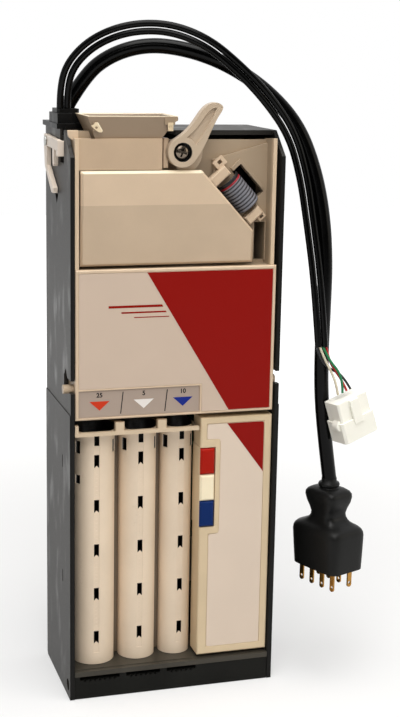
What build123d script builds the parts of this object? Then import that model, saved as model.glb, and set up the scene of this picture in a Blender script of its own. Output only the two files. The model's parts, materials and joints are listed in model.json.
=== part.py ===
"""Coin changer: a case with a tilting coin acceptor, a tube cassette, a payout base and its cords."""

import os
from math import cos, radians, sin, tan

from build123d import *

os.makedirs("parts", exist_ok=True)

# ---- Driving sizes, in millimetres. X is right, -Y is the front, Z is up from the floor. ----
# Case
CASE_WIDTH = 136.0
CASE_DEPTH = 76.0
WALL = 3.0
UPPER_INSET = 0.5
TOP_SETBACK = 18.0
CORNER_DROP = 15.0
BACK_CHAMFER = 2.0
HEAD_ROOM = 20.1
FIT = 0.3
RUNNING = 0.05
SLIDE_FIT = 0.2

# Payout base
FLOOR = 3.0
BASE_FACE_TOP = 15.2
BED_TOP = 12.4
BED_THICKNESS = 2.8
SLIDE_THICKNESS = 2.6
DECK_TOP = 19.0
DECK_DEPTH = 41.0
LIP_HEIGHT = 3.4
PAYOUT_STROKE = 16.0
SOLENOID_BACK_GAP = 4.0
SOLENOID_GAP = 2.0
SOLENOID_WIDTH = 17.0
SOLENOID_HEIGHT = 17.5
PLUNGER_RADIUS = 2.5
PAYOUT_TOOTH = 1.6
PAYOUT_TOOTH_DEPTH = 1.0

# Coin tubes: inner diameters follow the coins with 0.6 mm of room
QUARTER = 24.3
NICKEL = 21.2
DIME = 17.9
COIN_ROOM = 0.6
TUBE_WALL = 1.1
TUBE_GAP = 3.2
TUBE_LENGTH = 154.6
TUBE_SETBACK = 21.7
TUBE_MARGIN = 3.0
WINDOW_WIDTH = 3.2
WINDOW_HEIGHT = 8.6
WINDOW_PITCH = 29.4
WINDOW_ROWS = 5
FIRST_WINDOW = 14.1
WINDOW_OFFSET = {"quarter": -0.7, "nickel": -0.6, "dime": 1.2}
TOP_WINDOW_DROP = 8.4
STRIP_WIDTH = 3.6
STRIP_DEPTH = 0.35

# Cassette frame
BAR_HEIGHT = 2.4
BAR_DEPTH = 2.6
BAR_INLET = 1.0
WEB_THICKNESS = 2.0
POST_RISE = 5.7
POST_SHIFT = 2.6
POST_HALF = 3.0
POST_DEPTH = 4.0
POST_BOSS = 1.6
SIDE_SLOT_ANGLE = 30.0
SIDE_SLOT_DEPTH = 3.8
SIDE_SLOT_HEIGHT = 8.2
SIDE_SLOT_DROP = 6.0
NOTCH_HEIGHT = 5.8
NOTCH_DROP = 28.2

# Control cover and buttons
COVER_GAP = 0.4
COVER_DEPTH = 16.0
COVER_WALL = 2.0
COVER_FOOT = 2.0
COVER_ABOVE_BAR = 5.0
SINK = 0.6
BUTTON_WIDTH = 10.0
BUTTON_HEIGHT = 17.2
BUTTON_PITCH = 17.5
BUTTON_DEPTH = 9.0
BUTTON_TRAVEL = 1.5
BAY_DROP = 19.6
BUTTON_FIT = 0.4

# Acceptor
PANEL_GAP = 8.2
PANEL_HEIGHT = 93.3
PANEL_THICKNESS = 2.5
PANEL_SIDE_GAP = 0.5
PANEL_RIGHT_GAP = 1.5
LABEL_FOOT = 1.5
LABEL_HEIGHT = 17.0
LABEL_WIDTH = 77.5
LABEL_SINK = 1.2
PANEL_RIM = 2.0
SHEET = 0.4
CHEEK = 2.4
CHEEK_SIDE_GAP = 0.5
RIGHT_RAIL_GAP = 3.0
PIVOT_RISE = 19.0
PIVOT_DEPTH = 7.0
TRUNNION_RADIUS = 2.8
TRUNNION_REACH = 3.0
STUB_REACH = 1.3
SEAT_DEPTH = 1.0
SLOT_HEIGHT = 8.0
SLOT_DEPTH = 20.0
BACKPLATE_DEPTH = 15.0
BACKPLATE = 2.0
RUNWAY_DEPTH = 16.0

# Gate
GATE_GAP = 1.7
GATE_HEIGHT = 57.4
GATE_RIGHT_MARGIN = 13.5
GATE_DEPTH = 4.6
GATE_WALL = 1.6
GATE_SLANT_X = 34.4
GATE_SLANT_Z = 37.6
GATE_PIN_RADIUS = 1.2
GATE_LEFT_GAP = 3.6

# Coin mouth
THROAT_WIDTH = 41.0
THROAT_DEPTH = 22.5
MOUTH_WIDTH = 55.4
MOUTH_DEPTH = 36.0
FUNNEL_WALL = 1.6

# Coin return lever
LEVER_INSET = 12.2
LEVER_RISE = 11.0
BOSS_RADIUS = 9.2
RECESS_RADIUS = 5.7
LEVER_ANGLE = 50.5
LEVER_THICKNESS = 6.0
STUD_RADIUS = 2.5
LEVER_SWING = 30.0
CAM_RADIUS = 14.2
CAM_THICKNESS = 2.0
CAM_LEFT = 3.0
CAM_RISE = 8.0
BAR_SETBACK = 1.8
BAR_WIDTH = 3.2

# Runway, flap and its solenoid
RUNWAY_WIDTH = 87.1
COIN_WAY = 3.2
FLAP_INSET = 33.1
FLAP_RISE = 40.0
FLAP_LENGTH = 18.0
FLAP_HUB = 2.6
FLAP_PIN = 1.3
PLUNGER = 2.0
COIL_LENGTH = 20.0
COIL_HALF = 6.0
SENSOR_RADIUS = 8.0
SENSOR_PLACES = ((17.1, 36.0), (39.1, 44.0), (63.1, 58.0))

# Logic board
BOARD_THICKNESS = 1.6
STANDOFF = 4.0
BOARD_SIDE_GAP = 3.0
BOARD_RISE = 21.0
BOARD_DROP = 8.0
SCREW_INSET = 5.0
CAPACITORS = ((22.0, 14.0, 6.5, 16.0), (40.0, 14.0, 5.0, 13.0), (54.0, 12.0, 4.0, 11.0))
CHIP_INSET = 22.0
CHIP_RISE = 62.0
CHIP_PITCH = 16.0
TRANSFORMER_DEPTH = 21.0
TRANSFORMER_INSET = 23.0
TRANSFORMER_RISE = 26.0
HEADER_INSET = 18.0
HEADER_DROP = 20.0
HEADER_DEPTH = 9.0
PIN_PITCH = 2.54

# Latch
LATCH_THICKNESS = 2.9
LATCH_PIN_RADIUS = 2.0
HOOK_LENGTH = 5.0

# Back wall keyholes and the base's side hole
KEYHOLE_HALF_SPACING = 38.0
KEYHOLE_LOW = 120.0
KEYHOLE_TOP_DROP = 40.0
KEY_HEAD_RADIUS = 5.0
KEY_SHANK_RADIUS = 2.6
KEY_DROP = 9.0
BASE_HOLE_RADIUS = 3.8
BASE_HOLE_DEPTH = 7.0
BASE_HOLE_Z = 8.0

# Cords
MAIN_DIAMETER = 9.4
DATA_DIAMETER = 4.2
WIRE_DIAMETER = 1.6

# ---- Places worked out from those sizes ----
OUTER = CASE_WIDTH / 2
INNER = OUTER - WALL
FRONT = -CASE_DEPTH / 2
BACK = CASE_DEPTH / 2
CASSETTE_FOOT = DECK_TOP + FIT
BAR_FOOT = CASSETTE_FOOT + TUBE_LENGTH
BAR_TOP = BAR_FOOT + BAR_HEIGHT
PANEL_FOOT = BAR_TOP + PANEL_GAP
PANEL_TOP = PANEL_FOOT + PANEL_HEIGHT
GATE_FOOT = PANEL_TOP + GATE_GAP
GATE_TOP = GATE_FOOT + GATE_HEIGHT
CHASSIS_TOP = GATE_TOP + HEAD_ROOM - 1.0
CASE_HEIGHT = GATE_TOP + HEAD_ROOM + WALL
PIVOT_Y = FRONT + PIVOT_DEPTH
PIVOT_Z = PANEL_FOOT + PIVOT_RISE
TUBE_Y = FRONT + TUBE_SETBACK
COVER_TOP = BAR_TOP + COVER_ABOVE_BAR
COVER_BASE = DECK_TOP + COVER_FOOT


# ---- Shape helpers ----
def block(x0, x1, y0, y1, z0, z1):
    """A box between two corners."""
    return Pos((x0 + x1) / 2, (y0 + y1) / 2, (z0 + z1) / 2) * Box(x1 - x0, y1 - y0, z1 - z0)


def rod_x(x0, x1, y, z, radius):
    """A round bar along X."""
    return Pos((x0 + x1) / 2, y, z) * Rot(0, 90, 0) * Cylinder(radius, x1 - x0)


def rod_y(x, y0, y1, z, radius):
    """A round bar along Y."""
    return Pos(x, (y0 + y1) / 2, z) * Rot(90, 0, 0) * Cylinder(radius, y1 - y0)


def rod_z(x, y, z0, z1, radius):
    """A round bar along Z."""
    return Pos(x, y, (z0 + z1) / 2) * Cylinder(radius, z1 - z0)


def prism_x(points, x0, x1):
    """An outline of (Y, Z) points, extruded along X."""
    face = make_face(Polyline(*[(x0, y, z) for y, z in points], close=True))
    return extrude(face, amount=x1 - x0, dir=(1, 0, 0))


def prism_y(points, y0, y1):
    """An outline of (X, Z) points, extruded along Y."""
    face = make_face(Polyline(*[(x, y0, z) for x, z in points], close=True))
    return extrude(face, amount=y1 - y0, dir=(0, 1, 0))


def save(shape, node):
    """Writes one node's STEP file."""
    export_step(shape, f"parts/{node}.step")


# ---- Coin tube places, left to right ----
COINS = {"quarter": QUARTER, "nickel": NICKEL, "dime": DIME}
tube_bore = {name: (coin + COIN_ROOM) / 2 for name, coin in COINS.items()}
tube_radius = {name: bore + TUBE_WALL for name, bore in tube_bore.items()}
tube_x = {}
edge = -INNER + TUBE_MARGIN
for name in COINS:
    tube_x[name] = edge + tube_radius[name]
    edge = edge + 2 * tube_radius[name] + TUBE_GAP
CASSETTE_RIGHT = edge - TUBE_GAP
CASSETTE_LEFT = -INNER + 0.5
CASSETTE_BACK = TUBE_Y + tube_radius["quarter"] + 3.0
WEB_Y = TUBE_Y + 3.0

# ---- Case ----
slot_foot = PIVOT_Z - TRUNNION_RADIUS + SEAT_DEPTH
slot_back = FRONT + SLOT_DEPTH
trunnion_bore = TRUNNION_RADIUS + RUNNING
STEP_Z = PANEL_FOOT + 3.5
LATCH_Y = BACK - 18.0
LATCH_Z = CASE_HEIGHT - 9.0
HOOK_Y = FRONT + 22.0
HOOK_FOOT = CASE_HEIGHT - 16.0
HOOK_TOP = CASE_HEIGHT - 7.0
funnel_left = -OUTER + 16.1
funnel_right = funnel_left + THROAT_WIDTH
funnel_front = FRONT + 3.5
funnel_back = funnel_front + THROAT_DEPTH
mouth_left = funnel_left - 5.1
mouth_right = mouth_left + MOUTH_WIDTH
mouth_back = FRONT + 0.2 + MOUTH_DEPTH
NOTCH_ROOM = 3.0
KEYHOLES = [
    (0.0, CASE_HEIGHT - KEYHOLE_TOP_DROP),
    (-KEYHOLE_HALF_SPACING, KEYHOLE_LOW),
    (KEYHOLE_HALF_SPACING, KEYHOLE_LOW),
]


def whole_case():
    """Back, two sides and a short top, with their slots and holes."""
    lower = block(-OUTER, OUTER, FRONT, BACK, 0, STEP_Z)
    upper = block(-OUTER + UPPER_INSET, OUTER - UPPER_INSET, FRONT, BACK, STEP_Z, CASE_HEIGHT)
    shell = lower + upper
    back_foot = shell.faces().sort_by(Axis.Y)[-1].edges().filter_by(Axis.X).sort_by(Axis.Z)[0]
    shell = chamfer(back_foot, BACK_CHAMFER)
    shell -= block(-INNER, INNER, FRONT - 1, BACK - WALL, -1, CASE_HEIGHT - WALL)
    shell -= block(-INNER, INNER, FRONT - 1, FRONT + TOP_SETBACK, CASE_HEIGHT - WALL - 1, CASE_HEIGHT + 1)
    corner = [
        (FRONT - 1, CASE_HEIGHT - CORNER_DROP - CORNER_DROP / TOP_SETBACK),
        (FRONT + TOP_SETBACK, CASE_HEIGHT),
        (FRONT + TOP_SETBACK, CASE_HEIGHT + 1),
        (FRONT - 1, CASE_HEIGHT + 1),
    ]
    shell -= prism_x(corner, -OUTER - 1, OUTER + 1)
    shell -= block(-INNER - 1, mouth_right + NOTCH_ROOM, FRONT, mouth_back + NOTCH_ROOM,
                   CASE_HEIGHT - WALL - 1, CASE_HEIGHT + 1)
    slot = [
        (FRONT - 1, slot_foot),
        (slot_back, slot_foot),
        (slot_back, slot_foot + SLOT_HEIGHT),
        (slot_back - 5, slot_foot + SLOT_HEIGHT + 5),
        (slot_back - 10, slot_foot + SLOT_HEIGHT),
        (FRONT - 1, slot_foot + SLOT_HEIGHT),
    ]
    shell -= prism_x(slot, -OUTER - 1, OUTER + 1)
    shell -= rod_x(-OUTER - 1, OUTER + 1, PIVOT_Y, PIVOT_Z, trunnion_bore)
    for z in (DECK_TOP + 57.5, DECK_TOP + 134.0):
        shell -= block(-OUTER - 1, -INNER + 1, FRONT + 22.2, FRONT + 23.8, z - 4, z + 4)
    shell -= rod_x(-OUTER - 1, -INNER + 1, FRONT + BASE_HOLE_DEPTH, BASE_HOLE_Z, BASE_HOLE_RADIUS)
    shell -= block(-OUTER - 1, -INNER + 1, HOOK_Y - 3, HOOK_Y + HOOK_LENGTH + 3,
                   HOOK_FOOT - 4, CASE_HEIGHT + 1)
    shell -= rod_x(-OUTER - 1, -INNER + 1, LATCH_Y, LATCH_Z, LATCH_PIN_RADIUS + RUNNING)
    tip_notch = [(-2.0, CASE_HEIGHT - 40.0), (8.0, CASE_HEIGHT - 40.0), (3.0, CASE_HEIGHT - 46.0)]
    shell -= prism_x(tip_notch, -OUTER - 1, -OUTER + UPPER_INSET + 1.5)
    for x, z in KEYHOLES:
        shell -= rod_y(x, BACK - WALL - 1, BACK + 1, z, KEY_SHANK_RADIUS)
        shell -= rod_y(x, BACK - WALL - 1, BACK + 1, z - KEY_DROP, KEY_HEAD_RADIUS)
        shell -= block(x - KEY_SHANK_RADIUS, x + KEY_SHANK_RADIUS, BACK - WALL - 1, BACK + 1,
                       z - KEY_DROP, z)
    return shell


case = whole_case()
save(case & block(-INNER, INNER, FRONT - 1, BACK + 1, -1, CASE_HEIGHT + 1), "housing_shell")
save(case & block(-OUTER - 1, -INNER, FRONT - 1, BACK + 1, -1, CASE_HEIGHT + 1), "housing_left_wall")
save(case & block(INNER, OUTER + 1, FRONT - 1, BACK + 1, -1, CASE_HEIGHT + 1), "housing_right_wall")

# ---- Payout base ----
TRAY_HALF = INNER - SLIDE_FIT
TRAY_BACK = BACK - WALL - SLIDE_FIT
deck_foot = BED_TOP + SLIDE_THICKNESS + 2 * SLIDE_FIT
deck_back = FRONT + DECK_DEPTH
slide_foot = BED_TOP + SLIDE_FIT
slide_half = {name: bore + 1.0 for name, bore in tube_bore.items()}
stem_start = deck_back - 3.0
SCREW_RADIUS = 1.2
deck_screw_y = deck_back - 4.0
quarter_edge = tube_x["quarter"] + slide_half["quarter"]
nickel_edge = tube_x["nickel"] - slide_half["nickel"]
bed_right = tube_x["dime"] + tube_radius["dime"] + 2
DECK_SCREWS = ((quarter_edge + nickel_edge) / 2, bed_right + 13.8, TRAY_HALF - 4.0)
solenoid_front = deck_back + SOLENOID_GAP
solenoid_back = BACK - WALL - SOLENOID_BACK_GAP


def base_tray():
    """Floor, front face with a toothed payout slot under each tube, and the bed of the slides."""
    tray = block(-TRAY_HALF, TRAY_HALF, FRONT + 0.5, TRAY_BACK, 0, FLOOR)
    tray += block(-TRAY_HALF, TRAY_HALF, FRONT + 0.5, FRONT + 3.0, 0, BASE_FACE_TOP - SLIDE_FIT)
    tray += block(-TRAY_HALF, bed_right, FRONT + 3.0, deck_back, BED_TOP - BED_THICKNESS, BED_TOP)
    for y in (FRONT + 4.0, FRONT + 22.0, deck_back - 2.0):
        tray += block(-TRAY_HALF, bed_right, y, y + 2.0, FLOOR, BED_TOP)
    for x in DECK_SCREWS:
        if x > bed_right:
            tray += rod_z(x, deck_screw_y, FLOOR, deck_foot, 3.4)
        tray -= rod_z(x, deck_screw_y, BED_TOP - 5, deck_foot + 1, SCREW_RADIUS + 0.05)
    for name, bore in tube_bore.items():
        x = tube_x[name]
        tray -= block(x - bore - 0.5, x + bore + 0.5, FRONT - 1, FRONT + 3.5, BED_TOP, BASE_FACE_TOP)
        teeth = int(bore / PAYOUT_TOOTH)
        for tooth in range(teeth):
            middle = x + (tooth - (teeth - 1) / 2) * 2 * PAYOUT_TOOTH
            tray -= block(middle - PAYOUT_TOOTH / 2, middle + PAYOUT_TOOTH / 2, FRONT - 1, FRONT + 2.0,
                          BED_TOP - PAYOUT_TOOTH_DEPTH, BED_TOP + 0.1)
    return tray


def payout_deck():
    """Plate over the slides, with a hole under each tube and a lip along the front."""
    deck = block(-TRAY_HALF, TRAY_HALF, FRONT + 3.2, deck_back, deck_foot, DECK_TOP)
    deck += block(-TRAY_HALF, TRAY_HALF, FRONT, FRONT + 3.2, BASE_FACE_TOP, BASE_FACE_TOP + LIP_HEIGHT)
    for name, bore in tube_bore.items():
        deck -= rod_z(tube_x[name], TUBE_Y, deck_foot - 1, DECK_TOP + 1, bore)
        deck -= block(tube_x[name] - PLUNGER_RADIUS - 0.6, tube_x[name] + PLUNGER_RADIUS + 0.6,
                      stem_start - PAYOUT_STROKE - 1.5, deck_back + 1,
                      deck_foot - 1, slide_foot + 2 * PLUNGER_RADIUS + 0.5)
    for x in DECK_SCREWS:
        deck -= rod_z(x, deck_screw_y, deck_foot - 1, DECK_TOP + 1, SCREW_RADIUS + 0.1)
        deck -= rod_z(x, deck_screw_y, DECK_TOP - 1.8, DECK_TOP + 1, 2 * SCREW_RADIUS + 0.1)
    return deck


def payout_slide(name):
    """Flat pusher that cradles the back half of a coin, with the plunger that drives it."""
    half = slide_half[name]
    x = tube_x[name]
    slide_top = slide_foot + SLIDE_THICKNESS
    plate = block(x - half, x + half, TUBE_Y - 2.0, stem_start, slide_foot, slide_top)
    plate -= rod_z(x, TUBE_Y, slide_foot - 1, slide_top + 1, tube_bore[name])
    stem = rod_y(x, stem_start - 1.0, solenoid_back - 3.0, slide_foot + PLUNGER_RADIUS, PLUNGER_RADIUS)
    return plate + stem


def payout_solenoids():
    """Three pull-type coils standing behind the deck, each bored for its slide's plunger."""
    coils = []
    for name in COINS:
        x = tube_x[name]
        z = slide_foot + PLUNGER_RADIUS
        can = block(x - SOLENOID_WIDTH / 2, x + SOLENOID_WIDTH / 2, solenoid_front, solenoid_back,
                    FLOOR, FLOOR + SOLENOID_HEIGHT)
        can = chamfer(can.edges().filter_by(Axis.Y), 1.0)
        can -= rod_y(x, solenoid_front - 1, solenoid_back - 2.0, z, PLUNGER_RADIUS + RUNNING)
        coils.append(can)
    return Compound(children=coils)


save(base_tray(), "base_tray")
save(payout_deck(), "payout_deck")
for name in COINS:
    save(payout_slide(name), f"payout_slide_{name}")
save(payout_solenoids(), "payout_solenoids")


# ---- Coin tubes ----
def window(x, y, z):
    """A tall slot with a V notch in its lower end, cut from the front."""
    half, foot, top = WINDOW_WIDTH / 2, z - WINDOW_HEIGHT / 2, z + WINDOW_HEIGHT / 2
    outline = [(x - half, top), (x - half, foot), (x, foot + half), (x + half, foot), (x + half, top)]
    return prism_y(outline, y - 40, y)


def coin_tube(name):
    """Round tube with a row of sight slots up its front and one near the top of each side."""
    x, outer, bore = tube_x[name], tube_radius[name], tube_bore[name]
    tube = rod_z(x, TUBE_Y, CASSETTE_FOOT, BAR_FOOT, outer)
    tube -= rod_z(x, TUBE_Y, CASSETTE_FOOT - 1, BAR_FOOT + 1, bore)
    slot_x = x + WINDOW_OFFSET[name]
    tube -= block(slot_x - STRIP_WIDTH / 2, slot_x + STRIP_WIDTH / 2, TUBE_Y - outer - 1,
                  TUBE_Y - outer + STRIP_DEPTH, CASSETTE_FOOT + 8, BAR_FOOT - TOP_WINDOW_DROP)
    for row in range(WINDOW_ROWS):
        tube -= window(slot_x, TUBE_Y, CASSETTE_FOOT + FIRST_WINDOW + WINDOW_HEIGHT / 2 + row * WINDOW_PITCH)
    tube -= block(slot_x - WINDOW_WIDTH / 2, slot_x + WINDOW_WIDTH / 2, TUBE_Y - outer - 1, TUBE_Y,
                  BAR_FOOT - TOP_WINDOW_DROP, BAR_FOOT - 1.5)
    side = TUBE_Y - outer * sin(radians(SIDE_SLOT_ANGLE))
    front, back = side - SIDE_SLOT_DEPTH / 2, side + SIDE_SLOT_DEPTH / 2
    top = BAR_FOOT - SIDE_SLOT_DROP
    tube -= block(x - outer - 1, x - bore * 0.5, front, back, top - SIDE_SLOT_HEIGHT, top)
    tube -= block(x + bore * 0.5, x + outer + 1, front, back, top - SIDE_SLOT_HEIGHT, top)
    if name == "quarter":
        top = BAR_FOOT - NOTCH_DROP
        tube -= block(x - outer - 1, x - bore * 0.5, front, back, top - NOTCH_HEIGHT, top)
    return tube


for name in COINS:
    save(coin_tube(name), f"{name}_tube")


# ---- Cassette frame ----
def cassette_frame():
    """Thin rail in front of open mouths over the tubes, posts, a web between the tubes and a rear plate."""
    bar_front = FRONT + 1
    bar_right = CASSETTE_RIGHT - BAR_INLET
    left, right = CASSETTE_LEFT + 1, CASSETTE_RIGHT - 1
    frame = block(CASSETTE_LEFT, bar_right, bar_front, CASSETTE_BACK, BAR_FOOT, BAR_TOP)
    frame += block(left, right, CASSETTE_BACK - WEB_THICKNESS, CASSETTE_BACK, CASSETTE_FOOT, BAR_FOOT)
    frame += block(left, right, WEB_Y, WEB_Y + WEB_THICKNESS, CASSETTE_FOOT, BAR_FOOT)
    frame += block(left, right, WEB_Y, CASSETTE_BACK, CASSETTE_FOOT, CASSETTE_FOOT + 2.5)
    for name in COINS:
        x, bore = tube_x[name], tube_bore[name]
        frame -= rod_z(x, TUBE_Y, CASSETTE_FOOT - 1, BAR_FOOT, tube_radius[name] + 0.1)
        frame -= rod_z(x, TUBE_Y, BAR_FOOT - 1, BAR_TOP + 1, bore)
        frame -= block(x - bore, x + bore, bar_front + BAR_DEPTH, TUBE_Y, BAR_FOOT - 1, BAR_TOP + 1)
    between = [
        (tube_x["quarter"] + tube_radius["quarter"] + tube_x["nickel"] - tube_radius["nickel"]) / 2,
        (tube_x["nickel"] + tube_radius["nickel"] + tube_x["dime"] - tube_radius["dime"]) / 2,
    ]
    for middle in between:
        x = middle - POST_SHIFT
        frame += block(x - POST_HALF, x + POST_HALF - POST_BOSS, bar_front, bar_front + POST_DEPTH,
                       BAR_TOP, BAR_TOP + POST_RISE)
        frame += rod_z(x + POST_HALF - POST_BOSS, bar_front + POST_BOSS, BAR_FOOT, BAR_TOP + POST_RISE,
                       POST_BOSS)
    frame += block(CASSETTE_LEFT, CASSETTE_LEFT + 2.2, bar_front, bar_front + POST_DEPTH,
                   BAR_TOP, BAR_TOP + POST_RISE - 1)
    return frame


save(cassette_frame(), "cassette_frame")

# ---- Control cover, its buttons and their switch board ----
cover_left = CASSETTE_RIGHT + COVER_GAP
cover_right = INNER - 0.8
cover_front = FRONT + 1.5
cover_back = cover_front + COVER_DEPTH
BUTTONS = ("blue_button", "white_button", "red_button")
bay_top = COVER_TOP - BAY_DROP
button_foot = bay_top - BUTTON_FIT - BUTTON_HEIGHT - (len(BUTTONS) - 1) * BUTTON_PITCH
button_face = cover_front - 0.8
button_back = button_face + BUTTON_DEPTH
switch_front = button_back + BUTTON_TRAVEL + 1.3


def sunk_outline(inset):
    """The sunk face, which goes round the button bay, drawn in by an inset."""
    left, right = cover_left + 4 + inset, cover_right - 5 - inset
    foot, top = COVER_BASE + 5 + inset, COVER_TOP - 4 - inset
    beside_bay = cover_left + BUTTON_WIDTH + 3 + inset
    return [
        (left + 2, foot), (right, foot), (right, top), (left, top), (left, bay_top + 5 + inset),
        (beside_bay, bay_top + 5 + inset), (beside_bay, button_foot - 5 - inset),
        (left + 2, button_foot - 5 - inset),
    ]


def control_cover():
    """Hollow cover with a sunk face for its label and an open bay for the buttons."""
    cover = block(cover_left, cover_right, cover_front, cover_back, COVER_BASE, COVER_TOP)
    cover = chamfer(cover.faces().sort_by(Axis.Y)[0].edges(), 0.8)
    cover -= block(cover_left + COVER_WALL, cover_right - COVER_WALL, cover_front + COVER_WALL,
                   cover_back + 1, COVER_BASE + COVER_WALL, COVER_TOP - COVER_WALL)
    cover -= block(cover_left - 1, cover_left + BUTTON_WIDTH, cover_front - 1, cover_back + 1,
                   button_foot - BUTTON_FIT, bay_top)
    cover -= prism_y(sunk_outline(0), cover_front - 1, cover_front + SINK)
    cover += block(cover_left + BUTTON_WIDTH + 0.3, cover_left + BUTTON_WIDTH + 1.8, cover_front + 1.0,
                   switch_front + 3, button_foot - 2, bay_top + 2)
    for z in (COVER_BASE + 6, COVER_TOP - 12):
        cover += block(cover_right - 0.5, INNER - 0.1, cover_back - 8, cover_back - 2, z, z + 6)
    return cover


def control_label():
    """Printed sheet laid in the sunk face of the cover."""
    return prism_y(sunk_outline(FIT), cover_front + SINK - SHEET, cover_front + SINK)


def button(index):
    """Bevelled key with a stem behind it."""
    z = button_foot + index * BUTTON_PITCH
    key = block(cover_left - 0.1, cover_left + BUTTON_WIDTH - BUTTON_FIT, button_face, button_back,
                z, z + BUTTON_HEIGHT)
    key = chamfer(key.faces().sort_by(Axis.Y)[0].edges(), 1.2)
    key += rod_y(cover_left + BUTTON_WIDTH / 2, button_back - 0.5, button_back + 1.0,
                 z + BUTTON_HEIGHT / 2, 1.5)
    return key


def button_board():
    """Narrow board with one push switch behind each button."""
    board_face = switch_front + 2.0
    board = block(cover_left + 0.3, cover_left + BUTTON_WIDTH + 0.1, board_face,
                  board_face + BOARD_THICKNESS, button_foot - 0.3, bay_top - 0.1)
    for index in range(len(BUTTONS)):
        z = button_foot + index * BUTTON_PITCH + BUTTON_HEIGHT / 2
        x = cover_left + BUTTON_WIDTH / 2
        board += block(x - 3, x + 3, switch_front + 0.2, board_face, z - 3, z + 3)
    return board


save(control_cover(), "control_cover")
save(control_label(), "control_label")
for index, name in enumerate(BUTTONS):
    save(button(index), name)
save(button_board(), "button_board")

# ---- Acceptor chassis and front panel ----
cheek_left = -INNER + CHEEK_SIDE_GAP
rail_right = INNER - RIGHT_RAIL_GAP
panel_left = -INNER + PANEL_SIDE_GAP
panel_right = INNER - PANEL_RIGHT_GAP
plate_front = FRONT + BACKPLATE_DEPTH
plate_back = plate_front + BACKPLATE
runway_back = plate_back + RUNWAY_DEPTH
PANEL_RETURN = 5.0
BAY_STRIP = 1.0
sheet_left = panel_left + PANEL_RIM
sheet_right = panel_right - PANEL_RIM
label_top = PANEL_FOOT + LABEL_FOOT + LABEL_HEIGHT
stub_front = FRONT + 1.0
gate_left = panel_left + GATE_LEFT_GAP
gate_right = rail_right - GATE_RIGHT_MARGIN
gate_front = FRONT + 0.6
LUG_RADIUS = 2.2
gate_pin_y = gate_front + GATE_WALL + LUG_RADIUS + 0.8
gate_pin_z = GATE_FOOT + GATE_WALL + LUG_RADIUS + 0.4
lever_x = funnel_right + LEVER_INSET
lever_z = GATE_TOP + LEVER_RISE
lever_front = FRONT - 0.5
lever_back = lever_front + LEVER_THICKNESS
LEVER_RECESS = 4.0
lever_stud_front = lever_front + LEVER_RECESS - 0.1
runway_left = cheek_left + CHEEK + 1
runway_right = runway_left + RUNWAY_WIDTH
flap_x = runway_left + FLAP_INSET
flap_z = PANEL_FOOT + FLAP_RISE

# The gate's slanted edge, from which the flat cable and its clamps are measured
SLANT_LENGTH = (GATE_SLANT_X**2 + GATE_SLANT_Z**2) ** 0.5
ALONG = (GATE_SLANT_X / SLANT_LENGTH, -GATE_SLANT_Z / SLANT_LENGTH)
ACROSS = (-ALONG[1], ALONG[0])
BAND_INSET = 15.3
band_x = gate_right - BAND_INSET
band_z = GATE_TOP - GATE_SLANT_Z + BAND_INSET * GATE_SLANT_Z / GATE_SLANT_X


def band_point(along, across):
    """A point in XZ measured along the gate's slanted edge and out from it."""
    x = band_x + along * ALONG[0] + across * ACROSS[0]
    z = band_z + along * ALONG[1] + across * ACROSS[1]
    return (x, z)


def band_prism(a0, a1, c0, c1, y0, y1):
    """A block squared to the gate's slanted edge."""
    corners = [band_point(a0, c0), band_point(a1, c0), band_point(a1, c1), band_point(a0, c1)]
    return prism_y(corners, y0, y1)


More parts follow.
